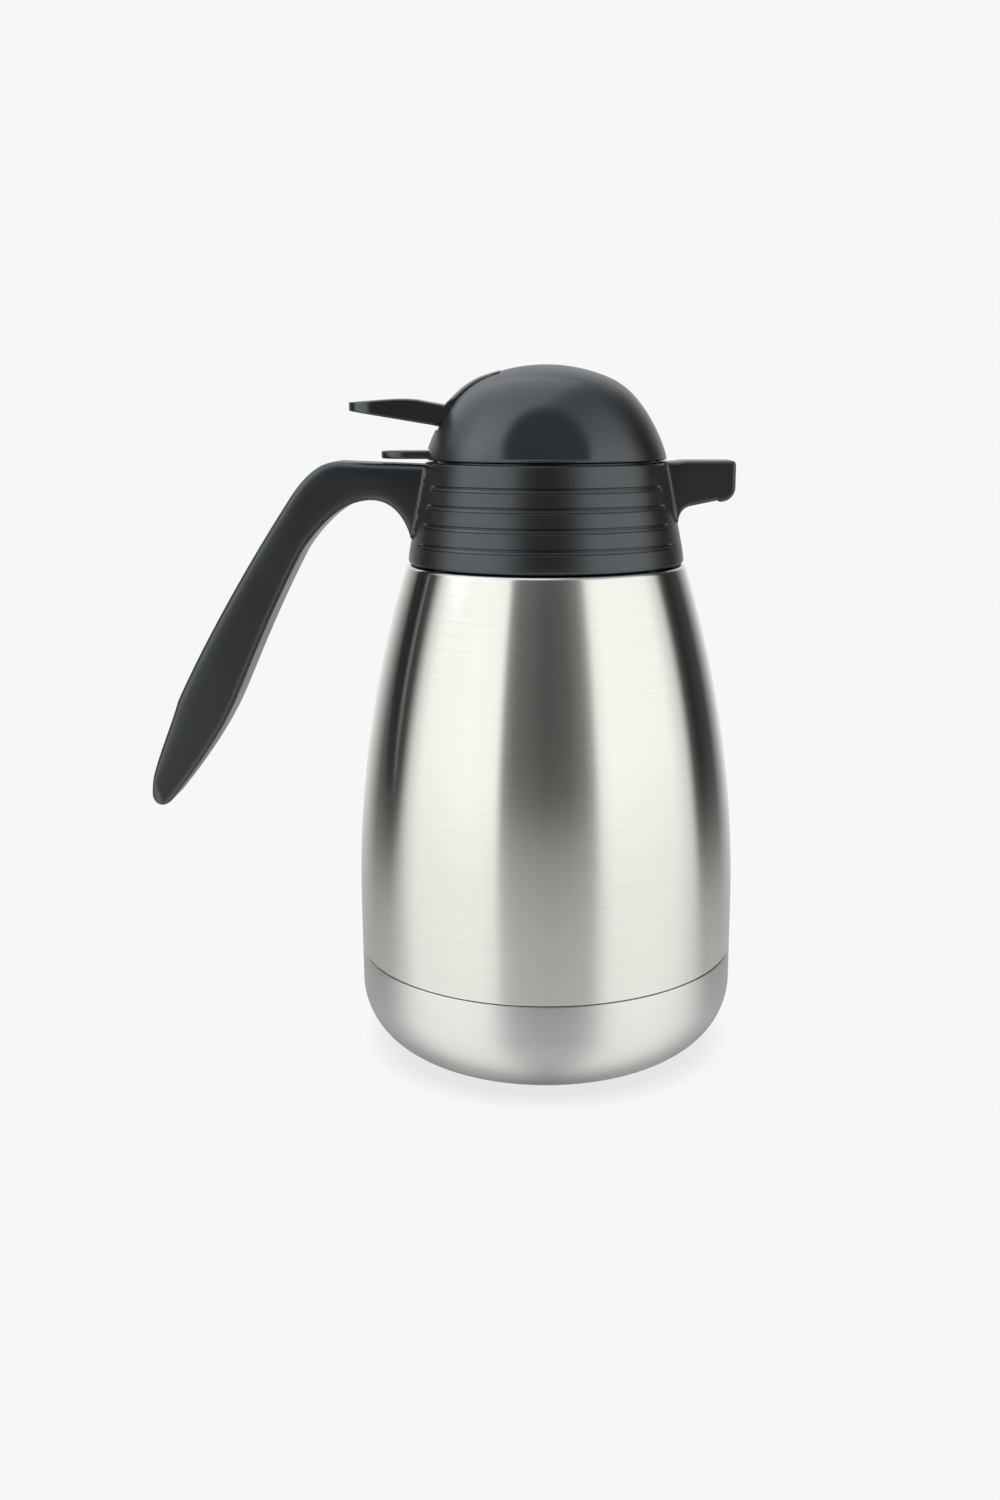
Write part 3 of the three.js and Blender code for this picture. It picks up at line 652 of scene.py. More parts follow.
def groove_depth(z):
    """How deep the grooves are at a height: a sharp step above, and a floor that rises to a small step below."""
    below_top, share = np.array(GROOVE).T
    heights = np.concatenate([top - below_top for top in GROOVE_TOPS])
    depths = np.tile(share, len(GROOVE_TOPS)) * GROOVE_DEPTH
    order = np.argsort(heights)
    return np.interp(z, heights[order], depths[order])


def cut_grooves(rows):
    """Sinks the grooves, which end short of the handle and the spout."""
    x, y, z = np.moveaxis(rows, -1, 0)
    r = np.hypot(x, y)
    outside = r > collar_radius(z) - 1.0
    ends = smooth(np.abs(y), GROOVE_END_Y, GROOVE_END_Y + 0.9)
    depth = groove_depth(z) * ends * outside
    scale = (r - depth) / r
    return np.stack([x * scale, y * scale, z], -1)


def make_collar_ring():
    edge, foot_edge = 0.8, 1.2
    below_top = [below for below, _ in GROOVE] + [0.1, 0.6, 1.0, 1.3]
    at_grooves = [top - below for top in GROOVE_TOPS for below in below_top]
    z = np.concatenate([at_grooves, np.linspace(COLLAR_TOP_Z - edge, COLLAR_BOTTOM_Z + foot_edge, 60)])
    z = np.unique(np.round(z, 3))[::-1]
    side = np.stack([collar_radius(z), z], 1)
    top_edge = arc(side[0, 0] - edge, COLLAR_TOP_Z - edge, edge, 90, 0, 6)[:-1]
    foot = arc(side[-1, 0] - foot_edge, COLLAR_BOTTOM_Z + foot_edge, foot_edge, 0, -90, 6)[1:]
    skirt_r = COLLAR_BOTTOM_R - COLLAR_WALL - 0.8
    sleeve_r = BORE_R + COLLAR_WALL
    hollow = rounded(
        [
            (skirt_r, COLLAR_BOTTOM_Z, 0.4),
            (skirt_r, LEDGE_Z, 0.4),
            (float(collar_radius(178)) - COLLAR_WALL - 0.4, 178),
            (float(collar_radius(186)) - COLLAR_WALL - 0.4, 186),
            (sleeve_r + 0.1, 196, 0.3),
            (sleeve_r, LEDGE_Z, 0.3),
            (LEDGE_R, LEDGE_Z, 0.3),
            (LEDGE_R, LEDGE_Z + COLLAR_WALL, 0.3),
            (BORE_R, LEDGE_Z + COLLAR_WALL, 0.3),
            (BORE_R, COLLAR_TOP_Z, 0.5),
        ]
    )
    return lathe("collar_surface", np.concatenate([top_edge, side, foot, hollow]), RING_STEPS, cut_grooves)


def flare(ring, half, fillet):
    """Widens a section where it meets the collar, so that its sides run into it in a fillet."""
    x, y, z = ring.T
    clear = np.clip(np.hypot(x, y) - collar_radius(z), 0, fillet)
    extra = fillet - np.sqrt(fillet**2 - (fillet - clear) ** 2)
    return np.stack([x, y * (1 + extra / half), z], 1)


def make_handle():
    half, edge, swell, tip_round = 11.0, 2.2, 0.8, 4.5
    top_root = curve((-38, 203.2), [(-66, 204.25)])
    top_blade = curve(
        (-66, 204.25),
        [(-69.7, 204.4), (-76.4, 206.0), (-86.2, 191.0)],
        [(-111.1, 154.6), (-125.9, 125), (-126.5, 123.1)],
        [(-129.9, 112.8), (-137.3, 98.4), (-137.4, 90.2)],
        steps=60,
    )
    under_root = curve((-38, 177), [(-45.3, 179)], [(-45.5, 181), (-49.4, 195.7), (-64, 190.7)])
    under_blade = curve(
        (-64, 190.7),
        [(-72.8, 187.8), (-81.2, 175.8), (-82.1, 174.1)],
        [(-92.6, 155.1), (-98.6, 141.1), (-105.9, 125.1)],
        [(-113.5, 108.5), (-129.0, 90.3), (-130.2, 88.8)],
        [(-132.9, 85.6), (-137.4, 86.2), (-137.4, 90.2)],
        steps=60,
    )
    root_shares = np.linspace(0, 1, 60)
    blade_shares = np.sin(np.linspace(0, math.pi / 2, 190))[1:]
    upper = np.concatenate([along(top_root, root_shares), along(top_blade, blade_shares)])
    under = np.concatenate([along(under_root, root_shares), along(under_blade, blade_shares)])
    middle = (upper + under) / 2
    left = np.concatenate([np.cumsum(np.hypot(*np.diff(middle[::-1], axis=0).T))[::-1], [0]])
    rings = []
    for top, bottom, remaining in zip(upper, under, left):
        if np.linalg.norm(top - bottom) < 0.8:
            break
        near = max(0.0, tip_round - remaining)
        width = half - tip_round + math.sqrt(max(tip_round**2 - near**2, 1e-4))
        ring = ring_section(bottom, top, width, edge, sides=20)
        reach = np.linalg.norm(ring[:, [0, 2]] - (top + bottom) / 2, axis=1) / np.linalg.norm((top - bottom) / 2)
        ring[:, 1] *= 1 - swell / half * np.minimum(reach, 1) ** 3
        rings.append(flare(ring, width, 1.1))
    return loft("handle", rings)


def make_spout():
    half, edge, lip = 10.0, 1.4, 1.2
    end_x = 62.8
    under = curve(
        (38, 184.5),
        [(44, 184.5)],
        [(44.2, 187.4), (45.4, 189.1), (47.8, 189.8)],
        [(57.0, 191.7)],
        [(57.7, 191.2)],
        [(61.2, 191.3), (end_x, 193.1), (end_x, 198.3)],
    )
    under = under[under[:, 0] < end_x - lip]
    tops = [(x, 204.2 + 0.4 * smooth(x, 42.5, 46.5)) for x in under[:, 0]]
    rings = [flare(ring_section(low_point, top, half, edge), half, 1.1) for low_point, top in zip(under, tops)]
    top_z = tops[-1][1]
    for angle in np.linspace(0, math.pi / 2, 6):
        drawn = lip * (1 - math.cos(angle))
        x = end_x - lip + lip * math.sin(angle)
        bottom = (x, under[-1][1] + 1.2 * math.sin(angle) + drawn)
        rings.append(ring_section(bottom, (x, top_z - drawn), half - drawn, edge))
    return loft("spout", rings)


def make_collar():
    collar = make_collar_ring()
    combine(collar, make_handle(), "UNION")
    combine(collar, make_spout(), "UNION")
    hollow = lathe(
        "recess",
        [
            (BORE_R + COLLAR_WALL, COLLAR_BOTTOM_Z - 1),
            (COLLAR_BOTTOM_R - COLLAR_WALL - 0.8, COLLAR_BOTTOM_Z - 1),
            (COLLAR_BOTTOM_R - COLLAR_WALL - 0.8, LEDGE_Z),
            (BORE_R + COLLAR_WALL + 0.1, 196),
        ],
        RING_STEPS // 2,
    )
    duct_r = BORE_R + 0.8
    duct_outline = [(duct_r, 190.6), (47, 190.6), (47, 203.4), (duct_r, 203.4)]
    duct = prism("duct", duct_outline, -9.5, 9.5, along_y=True)
    channel = prism(
        "channel",
        rounded([(30, -7, 1), (66, -7, 1), (66, 7, 1), (30, 7, 1)]),
        192.6,
        201.6,
        edge=1.5,
    )
    for tool, operation in ((hollow, "DIFFERENCE"), (duct, "UNION"), (channel, "DIFFERENCE")):
        combine(collar, tool, operation)
    return collar


stand_in(make_collar(), "collar")


# ---------- lid: dome ----------
def dome_outline(drawn_in, steps):
    """The dome from its rim to its crown, drawn in towards the centre of each arc."""
    radius, start, _ = DOME_ARCS[0]
    centre_r = DOME_R - radius * math.cos(math.radians(start))
    centre_z = DOME_RIM_Z - radius * math.sin(math.radians(start))
    points = []
    for i, (radius, start, end) in enumerate(DOME_ARCS):
        points.append(arc(centre_r, centre_z, radius - drawn_in, start, end, steps[i])[bool(i) :])
        if i + 1 < len(DOME_ARCS):
            step = radius - DOME_ARCS[i + 1][0]
            centre_r += step * math.cos(math.radians(end))
            centre_z += step * math.sin(math.radians(end))
    outline = np.concatenate(points)
    outline[:, 0] += 0.45 * (1 - smooth(outline[:, 1], DOME_RIM_Z, DOME_RIM_Z + 12))
    outline[:, 1] += 0.5 * smooth(outline[:, 1], 222, 235)
    outline[-1, 0] = 0
    return outline


def dome_height(r):
    outline = dome_outline(0, (60, 60, 60))
    return np.interp(-np.asarray(r), -outline[:, 0], outline[:, 1])


def soft_min(a, b, blend):
    share = np.clip(0.5 + 0.5 * (b - a) / blend, 0, 1)
    return b * (1 - share) + a * share - blend * share * (1 - share)


def grip_cut(depth_offset):
    """Cuts the finger flats into the two sides, which lean back and leave a thin brim below."""

    def cut(rows):
        x, y, z = np.moveaxis(rows, -1, 0)
        flat = GRIP_BOTTOM_Y - depth_offset - GRIP_LEAN * (z - GRIP_BOTTOM_Z)
        drop = np.abs(y) - np.minimum(np.abs(y), soft_min(np.abs(y), flat, 0.8))
        edge = 0.5  # rounding of the brim below the flat
        below = GRIP_BOTTOM_Z - z
        rounding = edge - np.sqrt(edge**2 - np.clip(edge - below, 0, edge) ** 2)
        drop = np.where(below > 1e-6, np.minimum(drop, rounding), drop)
        return np.stack([x, np.sign(y) * (np.abs(y) - drop), z], -1)

    return cut


def make_dome():
    outer = dome_outline(0, (80, 32, 24))
    brim = np.concatenate(
        [
            arc(DOME_R - 0.55, LID_Z + 0.3, 0.3, -90, 0, 4),
            np.stack([np.full(7, DOME_R), [205.2, 205.3, 205.4, 205.55, 205.7, 205.8, GRIP_BOTTOM_Z - 0.02]], 1),
        ]
    )
    on_curve = outer[:, 1]
    brim[5:, 0] = np.interp(brim[5:, 1], on_curve, outer[:, 0])
    brim[:5, 0] += 0.25
    above = outer[outer[:, 1] > GRIP_BOTTOM_Z + 0.05]
    ledge = [(np.interp(GRIP_BOTTOM_Z, on_curve, outer[:, 0]), GRIP_BOTTOM_Z + 0.001)]
    outside = np.concatenate([brim, ledge, above])
    inner = dome_outline(DOME_WALL, (24, 12, 8))
    inner_foot = [(DOME_R - DOME_WALL, LID_Z)]
    rows_out = lathe_points(outside, RING_STEPS, grip_cut(0))
    rows_in = lathe_points(np.concatenate([inner_foot, inner])[::-1], RING_STEPS, grip_cut(DOME_WALL))
    rows = np.concatenate([rows_in, rows_out])
    dome = make("dome_surface", rows.reshape(-1, 3), grid_faces(len(rows), RING_STEPS, False))
    slot_half = LEVER_HALF + 0.35
    slot_front = -17
    slot = rounded([(-50, -slot_half), (slot_front, -slot_half, 1.2), (slot_front, slot_half, 1.2), (-50, slot_half)])
    combine(dome, prism("slot", slot, 214.4, 250), "DIFFERENCE")
    notch_half = 9.4
    notch = rounded([(-60, -notch_half), (-30, -notch_half), (-30, notch_half), (-60, notch_half)])
    combine(dome, prism("notch", notch, 204, 208.4), "DIFFERENCE")
    return dome


stand_in(make_dome(), "dome")


# ---------- lid: base, stopper and seals ----------
def thumb_plate(tip_x, root_x, half, bottom, top, edge):
    """A flat plate whose free end is round when seen from above."""
    outline = rounded([(root_x, -half), (root_x, half), (tip_x, half, THUMB_ROUND), (tip_x, -half, THUMB_ROUND)], 16)
    return prism("plate", outline, bottom, top, edge)


SCREWS = [
    (28.8 * math.cos(math.radians(angle)), 28.8 * math.sin(math.radians(angle))) for angle in (45, 135, 225, 315)
]
LID_BASE_TOP = LID_Z + 2.8


def make_lid_base():
    base_r = DOME_R - DOME_WALL - 1.0
    disc = lathe(
        "lid_base_surface",
        rounded([(0, LID_Z), (base_r, LID_Z, 0.4), (base_r, LID_BASE_TOP, 0.4), (0, LID_BASE_TOP)]),
    )
    combine(disc, thumb_plate(TAB_TIP_X, -34, 9, 205.2, 207.7, 0.6), "UNION")
    guide = rounded([(0, 192.2), (4.5, 192.2, 0.5), (4.5, LID_BASE_TOP + 1, 0.4), (0, LID_BASE_TOP + 1)])
    combine(disc, lathe("guide", guide, 96), "UNION")
    for side in (-1, 1):
        near, far = LEVER_HALF + 0.6, LEVER_HALF + 3
        foot_z = LID_Z + 1
        ear = np.concatenate([[(PIVOT_X - 3, foot_z), (PIVOT_X + 3, foot_z)], arc(PIVOT_X, PIVOT_Z, 3, 0, 180, 24)])
        combine(disc, prism("ear", ear, min(near * side, far * side), max(near * side, far * side), 0.3, True), "UNION")
    combine(disc, lathe("stem_bore", [(0, 190), (2.4, 190), (2.4, 212), (0, 212)], 48), "DIFFERENCE")
    for side in (-1, 1):
        near, far, reach = GRIP_BOTTOM_Y - DOME_WALL - 0.9, 42, 18
        flat = [(-reach, near * side), (reach, near * side), (reach, far * side), (-reach, far * side)]
        combine(disc, prism("flat", flat, 200, 212), "DIFFERENCE")
    pin = prism("pin_bore", arc(PIVOT_X, PIVOT_Z, 1.7, 0, 352.5, 47), -14, 14, along_y=True)
    combine(disc, pin, "DIFFERENCE")
    for x, y in SCREWS:
        hole = lathe("hole", [(0, 200), (1.75, 200), (1.75, 212), (0, 212)], 32)
        combine(disc, moved(hole, x, y), "DIFFERENCE")
    return disc


def thread_lug(root_r, crest_r, bottom_z, start_degrees, sweep=52, rise=1.2, height=1.8):
    """A short rising ridge of the quick thread, run out smoothly at both ends."""
    rings = []
    for share in np.linspace(0, 1, 33):
        angle = math.radians(start_degrees + sweep * share)
        reach = (crest_r - root_r) * min(1.0, 6 * min(share, 1 - share) + 0.02)
        z = bottom_z + rise * share
        profile = [(root_r, z), (root_r + reach * 0.6, z + 0.15), (root_r + reach, z + 0.5)]
        profile += [(root_r + reach, z + height - 0.5), (root_r + reach * 0.6, z + height - 0.15), (root_r, z + height)]
        rings.append([(r * math.cos(angle), r * math.sin(angle), h) for r, h in profile])
    return loft("lug", rings)


def make_stopper_cup():
    cup_r, chamber_r, thick = 27.2, 34.0, 2.0
    floor_z = low("stopper_cup")[2]
    flange_z = LID_Z - 0.2
    outline = rounded(
        [
            (10, floor_z, 0.4),
            (24.6, floor_z, 0.6),
            (24.6, floor_z + 3.2),
            (cup_r, floor_z + 3.2, 0.4),
            (cup_r, 190.4, 0.4),
            (chamber_r, 190.4, 1.0),
            (chamber_r, 200.8, 0.3),
            (36.5, 200.8, 0.3),
            (36.5, flange_z, 0.3),
            (25, flange_z, 0.3),
            (25, 202.2, 0.3),
            (chamber_r - thick, 202.2),
            (chamber_r - thick, 192.2, 0.8),
            (cup_r - thick, 192.2, 0.6),
            (cup_r - thick, 182),
            (22.6, VALVE_SEAT_Z, 0.8),
            (10, VALVE_SEAT_Z, 0.4),
        ]
    )
    cup = lathe("stopper_surface", outline)
    for i in range(3):
        combine(cup, thread_lug(cup_r - 0.3, cup_r + 0.7, 183.6, 24 + 120 * i), "UNION")
    window = rounded([(-11, 193.2, 1.2), (11, 193.2, 1.2), (11, 198.4, 1.2), (-11, 198.4, 1.2)])
    opening = prism("window", window, 20, 40, along_y=True)
    opening.data.transform(Matrix.Rotation(-math.pi / 2, 4, "Z"))
    combine(cup, opening, "DIFFERENCE")
    for x, y in SCREWS:
        boss = rounded([(0, 196.4), (2.9, 196.4, 0.4), (2.9, 203, 0.3), (0, 203)])
        combine(cup, moved(lathe("boss", boss, 48), x, y), "UNION")
        bore = lathe("bore", [(0, 197.2), (1.75, 197.2), (1.75, 206), (0, 206)], 32)
        combine(cup, moved(bore, x, y), "DIFFERENCE")
    return cup


def make_neck_ring():
    outer_r = BORE_R - 0.3
    top, bottom = high("neck_ring")[2], low("neck_ring")[2]
    flange_z = 187.4
    outline = rounded(
        [
            (STOPPER_BORE_R, bottom, 0.4),
            (STOPPER_BORE_R, top, 0.5),
            (outer_r, top, 0.3),
            (outer_r, top - 0.9),
            (outer_r - 1.1, top - 0.9),
            (outer_r - 1.1, top - 1.9),
            (outer_r, top - 1.9),
            (outer_r, LEDGE_Z + COLLAR_WALL + 0.2, 0.3),
            (NECK_R + 0.3, LEDGE_Z + COLLAR_WALL + 0.2, 0.3),
            (NECK_R + 0.3, flange_z),
            (STOPPER_BORE_R + 1.8, flange_z),
            (STOPPER_BORE_R + 1.8, bottom, 0.4),
        ]
    )
    body = lathe("neck_ring_surface", outline)
    for i in range(3):
        combine(body, thread_lug(STOPPER_BORE_R + 0.3, STOPPER_BORE_R - 0.4, 186.6, 20 + 120 * i), "UNION")
    return body


def soft_ring(name, node, inner_r, low_r=None, high_r=None, edge=0.25):
    """A moulded ring between a node's bottom and top, whose outside may widen upwards."""
    bottom, top = low(node)[2], high(node)[2]
    outer = high(node)[1]
    low_r, high_r = low_r or outer, high_r or outer
    corners = [(inner_r, bottom, edge), (low_r, bottom, edge), (high_r, top, edge), (inner_r, top, edge)]
    return stand_in(lathe(name, rounded(corners), 160), node)


stand_in(make_lid_base(), "lid_base")
stand_in(make_stopper_cup(), "stopper_cup")
stand_in(make_neck_ring(), "neck_ring")
soft_ring("neck_gasket_ring", "neck_gasket", STOPPER_BORE_R + 2.1)
soft_ring("collar_seal_ring", "collar_seal", BORE_R - 1.3, edge=0.35)
soft_ring("stopper_seal_ring", "stopper_seal", 24.9, 27.4, 28.0, edge=0.5)
soft_ring("lid_gasket_ring", "lid_gasket", 34.3, 36.2, 36.7, edge=0.5)
soft_ring("stem_seal_ring", "stem_seal", 2.2, edge=0.3)
soft_ring("valve_gasket_ring", "valve_gasket", 9.2, edge=0.35)


# ---------- valve, screws and pin ----------
def make_spring():
    """A compression spring whose end coils lie flat."""
    bottom, top = low("valve_spring")[2] + 0.45, high("valve_spring")[2] - 0.45
    turns, wire_r, coil_r = 5.0, 0.45, 4.2
    share = np.linspace(0, 1, 420)
    rise = smooth(share, 0.02, 0.98) * 0.35 + np.clip((share - 0.1) / 0.8, 0, 1) * 0.65
    rings = []
    around = np.linspace(0, TAU, 13)[:-1]
    for t, lift in zip(share, rise):
        angle = TAU * turns * t
        out = np.array([math.cos(angle), math.sin(angle), 0])
        centre = out * coil_r + np.array([0, 0, bottom + (top - bottom) * lift])
        rings.append(centre + wire_r * (np.cos(around)[:, None] * out + np.sin(around)[:, None] * [0, 0, 1]))
    return loft("spring_wire", rings)


def make_screw(x, y, name):
    shank_r, head_r = 1.5, 2.8
    bottom = 197.5
    head_z = LID_BASE_TOP + 0.2
    core = [(0, bottom), (0.5, bottom + 0.1)]
    pitch, root = 0.8, shank_r - 0.3
    z = bottom + 1.0
    while z + pitch < head_z - 0.6:
        core += [(root, z), (shank_r, z + pitch * 0.5), (root, z + pitch * 0.98)]
        z += pitch
    core += [(shank_r - 0.2, z + 0.2), (shank_r - 0.2, head_z)]
    head = curve((head_r, head_z), [(head_r, head_z + 1.2), (head_r - 0.8, head_z + 1.75), (0, head_z + 1.8)], steps=12)
    screw = lathe(name, np.concatenate([core, head]), 48)
    for turn in (0, 90):
        half_long, half_wide = 1.5, 0.28
        blade = [(-half_long, -half_wide), (half_long, -half_wide), (half_long, half_wide), (-half_long, half_wide)]
        slot = prism("driver", blade, head_z + 0.7, head_z + 3)
        slot.data.transform(Matrix.Rotation(math.radians(turn), 4, "Z"))
        combine(screw, slot, "DIFFERENCE")
    return moved(screw, x, y)


spring = stand_in(make_spring(), "valve_spring")
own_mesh(spring)

stem_r = high("valve_stem")[0]
stem_z = (low("valve_stem")[2], high("valve_stem")[2])
stem = rounded([(0, stem_z[0]), (stem_r, stem_z[0], 0.4), (stem_r, stem_z[1], 0.6), (0, stem_z[1])])
stand_in(lathe("stem_rod", stem, 48), "valve_stem")
head_low, head_high = low("stem_head"), high("stem_head")
head = rounded(
    [
        (stem_r + 0.1, head_low[2], 0.2),
        (head_high[0], head_low[2], 0.5),
        (head_high[0], head_high[2], 0.5),
        (stem_r + 0.1, head_high[2], 0.2),
    ]
)
stand_in(lathe("stem_head_disc", head, 96), "stem_head")
plug_low, plug_high = low("valve_plug"), high("valve_plug")
plug = rounded(
    [
        (stem_r + 0.1, plug_low[2], 0.2),
        (plug_high[1], plug_low[2], 0.5),
        (plug_high[1], plug_low[2] + 1.4, 0.5),
        (8.5, plug_high[2] - 1.0, 0.6),
        (4.5, plug_high[2], 0.6),
        (stem_r + 0.1, plug_high[2], 0.2),
    ]
)
stand_in(lathe("valve_plug_disc", plug, 128), "valve_plug")
for number, (x, y) in enumerate(SCREWS, 1):
    stand_in(make_screw(x, y, f"cover_screw_{number}"), f"lid_screw_{number}")


def make_lever_pin():
    end = high("lever_pin")[1]
    radius = high("lever_pin")[2] - PIVOT_Z
    corners = rounded([(0, -end), (radius, -end, 0.3), (radius, end, 0.3), (0, end)])
    pin = lathe("pin_rod", corners, 48)
    pin.data.transform(Matrix.Rotation(math.pi / 2, 4, "X"))
    return moved(pin, PIVOT_X, 0, PIVOT_Z)


stand_in(make_lever_pin(), "lever_pin")


# ---------- lever ----------
def make_lever():
    """The thumb plate, whose hood climbs the dome and ends as a thin tongue on it, with the hub and the fork."""
    half, edge, crown = LEVER_HALF, 0.7, 0.35
    hood_start, tongue_start, hood_end = -33.4, -18.2, -15.2
    hood_x = np.linspace(hood_start, hood_end, 60)
    proud = np.interp(hood_x, [hood_start, -30, -26, tongue_start, hood_end], [2.2, 1.5, 1.0, 0.45, 0.3])
    hood = np.stack([hood_x, dome_height(-hood_x) + proud], 1)
    upper = np.concatenate([curve((LEVER_TIP_X, 223.5), [(-54, 224.4), (-48, 225.2), (-42, 224.4)]), hood])
    tongue_x = np.linspace(tongue_start, hood_end, 20)
    under = np.concatenate(
        [
            curve(
                (LEVER_TIP_X, 220.7),
                [(-37.4, 216.1)],
                [(-34.5, 216.3), (-31.5, 218.5), (-29.5, 221.5)],
                [(-28, 223.5), (-24, 227.5), (-18.7, 230.2)],
            ),
            np.stack([tongue_x, dome_height(-tongue_x) + 0.08], 1),
        ]
    )
    x = np.concatenate(
        [
            LEVER_TIP_X + THUMB_ROUND * (1 - np.cos(np.linspace(0.02, math.pi / 2, 24))),
            np.linspace(LEVER_TIP_X + THUMB_ROUND, hood_end, 160)[1:],
        ]
    )
    rings = []
    for place in x:
        top = (place, np.interp(place, upper[:, 0], upper[:, 1]))
        bottom = (place, np.interp(place, under[:, 0], under[:, 1]))
        near = max(0.0, THUMB_ROUND - (place - LEVER_TIP_X))
        width = half - THUMB_ROUND + math.sqrt(max(THUMB_ROUND**2 - near**2, 1e-4))
        ring = ring_section(bottom, top, width, edge, sides=16, corner=5)
        share = (ring[:, 2] - bottom[1]) / max(top[1] - bottom[1], 1e-6)
        on_dome = smooth(place, -33.0, -29.0)
        across = dome_height(np.hypot(min(place, 0), ring[:, 1])) - dome_height(-place)
        ring[:, 2] += on_dome * np.maximum(across, -4) - (1 - on_dome) * crown * share * (ring[:, 1] / half) ** 2
        rings.append(ring)
    lever = loft("lever_surface", rings)
    arm_top, arm_bottom = 216.0, 213.2
    hub = rounded(
        [
            (-37.4, 216.1),
            (PIVOT_X - 3.6, 215.0, 1.5),
            (PIVOT_X - 3.4, 211.0, 2.8),
            (PIVOT_X + 1.0, 209.6, 2.8),
            (PIVOT_X + 3.4, 212.0, 0.6),
            (5, arm_bottom, 0.6),
            (5, arm_top, 0.6),
            (-25.4, arm_top, 1.5),
            (-29.3, 222.0, 1.0),
            (-33.5, 221.5, 1.0),
        ],
        6,
    )
    combine(lever, prism("hub", hub, 0.35 - half, half - 0.35, 0.4, along_y=True), "UNION")
    fork = rounded([(-7, -3.2, 1.5), (12, -3.2), (12, 3.2), (-7, 3.2, 1.5)])
    combine(lever, prism("fork", fork, 200, 220), "DIFFERENCE")
    bore = prism("bore", arc(PIVOT_X, PIVOT_Z, 1.7, 0, 352.5, 47), -14, 14, along_y=True)
    combine(lever, bore, "DIFFERENCE")
    return lever


stand_in(make_lever(), "lever")


# ---------- floor, light and camera ----------
# Brightness by the direction's angle from the camera's side to the right, as (degrees, brightness):
# of the studio around the pot, and of the painted reflection the floor glows with near the pot for mirror rays, with
# painted shade of the pot behind it.
STUDIO = (
    (-180, 0.95), (-156, 0.9), (-143, 0.62), (-128, 0.14), (-112, 0.04), (-102, 0.08), (-93, 1),
    (-84, 1.42), (-50, 1.54), (-31, 1.45), (-26.5, 0.36), (-20, 0.2), (0, 0.11), (14, 0.14),
    (24, 0.27), (29, 0.5), (34, 1.3), (41, 1.5), (86, 1.45), (99, 0.96), (106, 0.1), (114, 0.03),
    (132, 0.08), (148, 0.6), (158, 0.9), (180, 0.95),
)
# Painted reflection: the brightness the floor glows with near the pot for mirror rays, lower behind the pot as painted
# shade.
PAINTED_FLOOR_REFLECTION = (
    (-180, 0.45), (-128, 0.56), (-112, 0.64), (-98, 0.86), (-87, 1.15), (-76, 1.2), (-60, 1.22),
    (-38, 1.22), (-31, 1.1), (-22, 0.82), (-14, 0.76), (0, 0.72), (16, 0.73), (25, 0.75), (32, 0.95),
    (40, 1.18), (55, 1.22), (70, 1.22), (80, 1.18), (90, 1.1), (101, 0.96), (114, 0.66), (130, 0.6),
    (180, 0.45),
)
BRIGHTEST = 1.65
# Metres over which the floor's painted reflection gives way to the studio's, and how steeply: in front of the pot and
# behind it.
FLOOR_REACH = (0.7, 0.32)
FLOOR_FALL = (1.1, 3.5)
PALE = (0.92, 0.935, 0.93, 1)  # the backdrop as the camera sees it


def by_angle(tree, direction, pattern):
    """The brightness of a pattern in a direction."""
    axes = add(tree, "SeparateXYZ", {0: direction}).outputs
    toward = add(tree, "Math", {0: axes["Y"], 1: -1.0}, operation="MULTIPLY").outputs[0]
    angle = add(tree, "Math", {0: axes["X"], 1: toward}, operation="ARCTAN2").outputs[0]
    ramp = add(tree, "ValToRGB", {"Fac": remap(tree, angle, 0.0, 1.0, -math.pi, math.pi)})
    stops = ramp.color_ramp.elements
    while len(stops) > 1:
        stops.remove(stops[-1])
    for i, (degrees, brightness) in enumerate(pattern):
        place = (degrees + 180) / 360
        stop = stops[0] if i == 0 else stops.new(place)
        stop.position = place
        level = brightness / BRIGHTEST
        stop.color = (level, level, level, 1)
    return ramp.outputs["Color"]


def mixed(tree, factor, a, b):
    return add(tree, "Mix", {"Factor": factor, "A": a, "B": b}, data_type="RGBA").outputs["Result"]


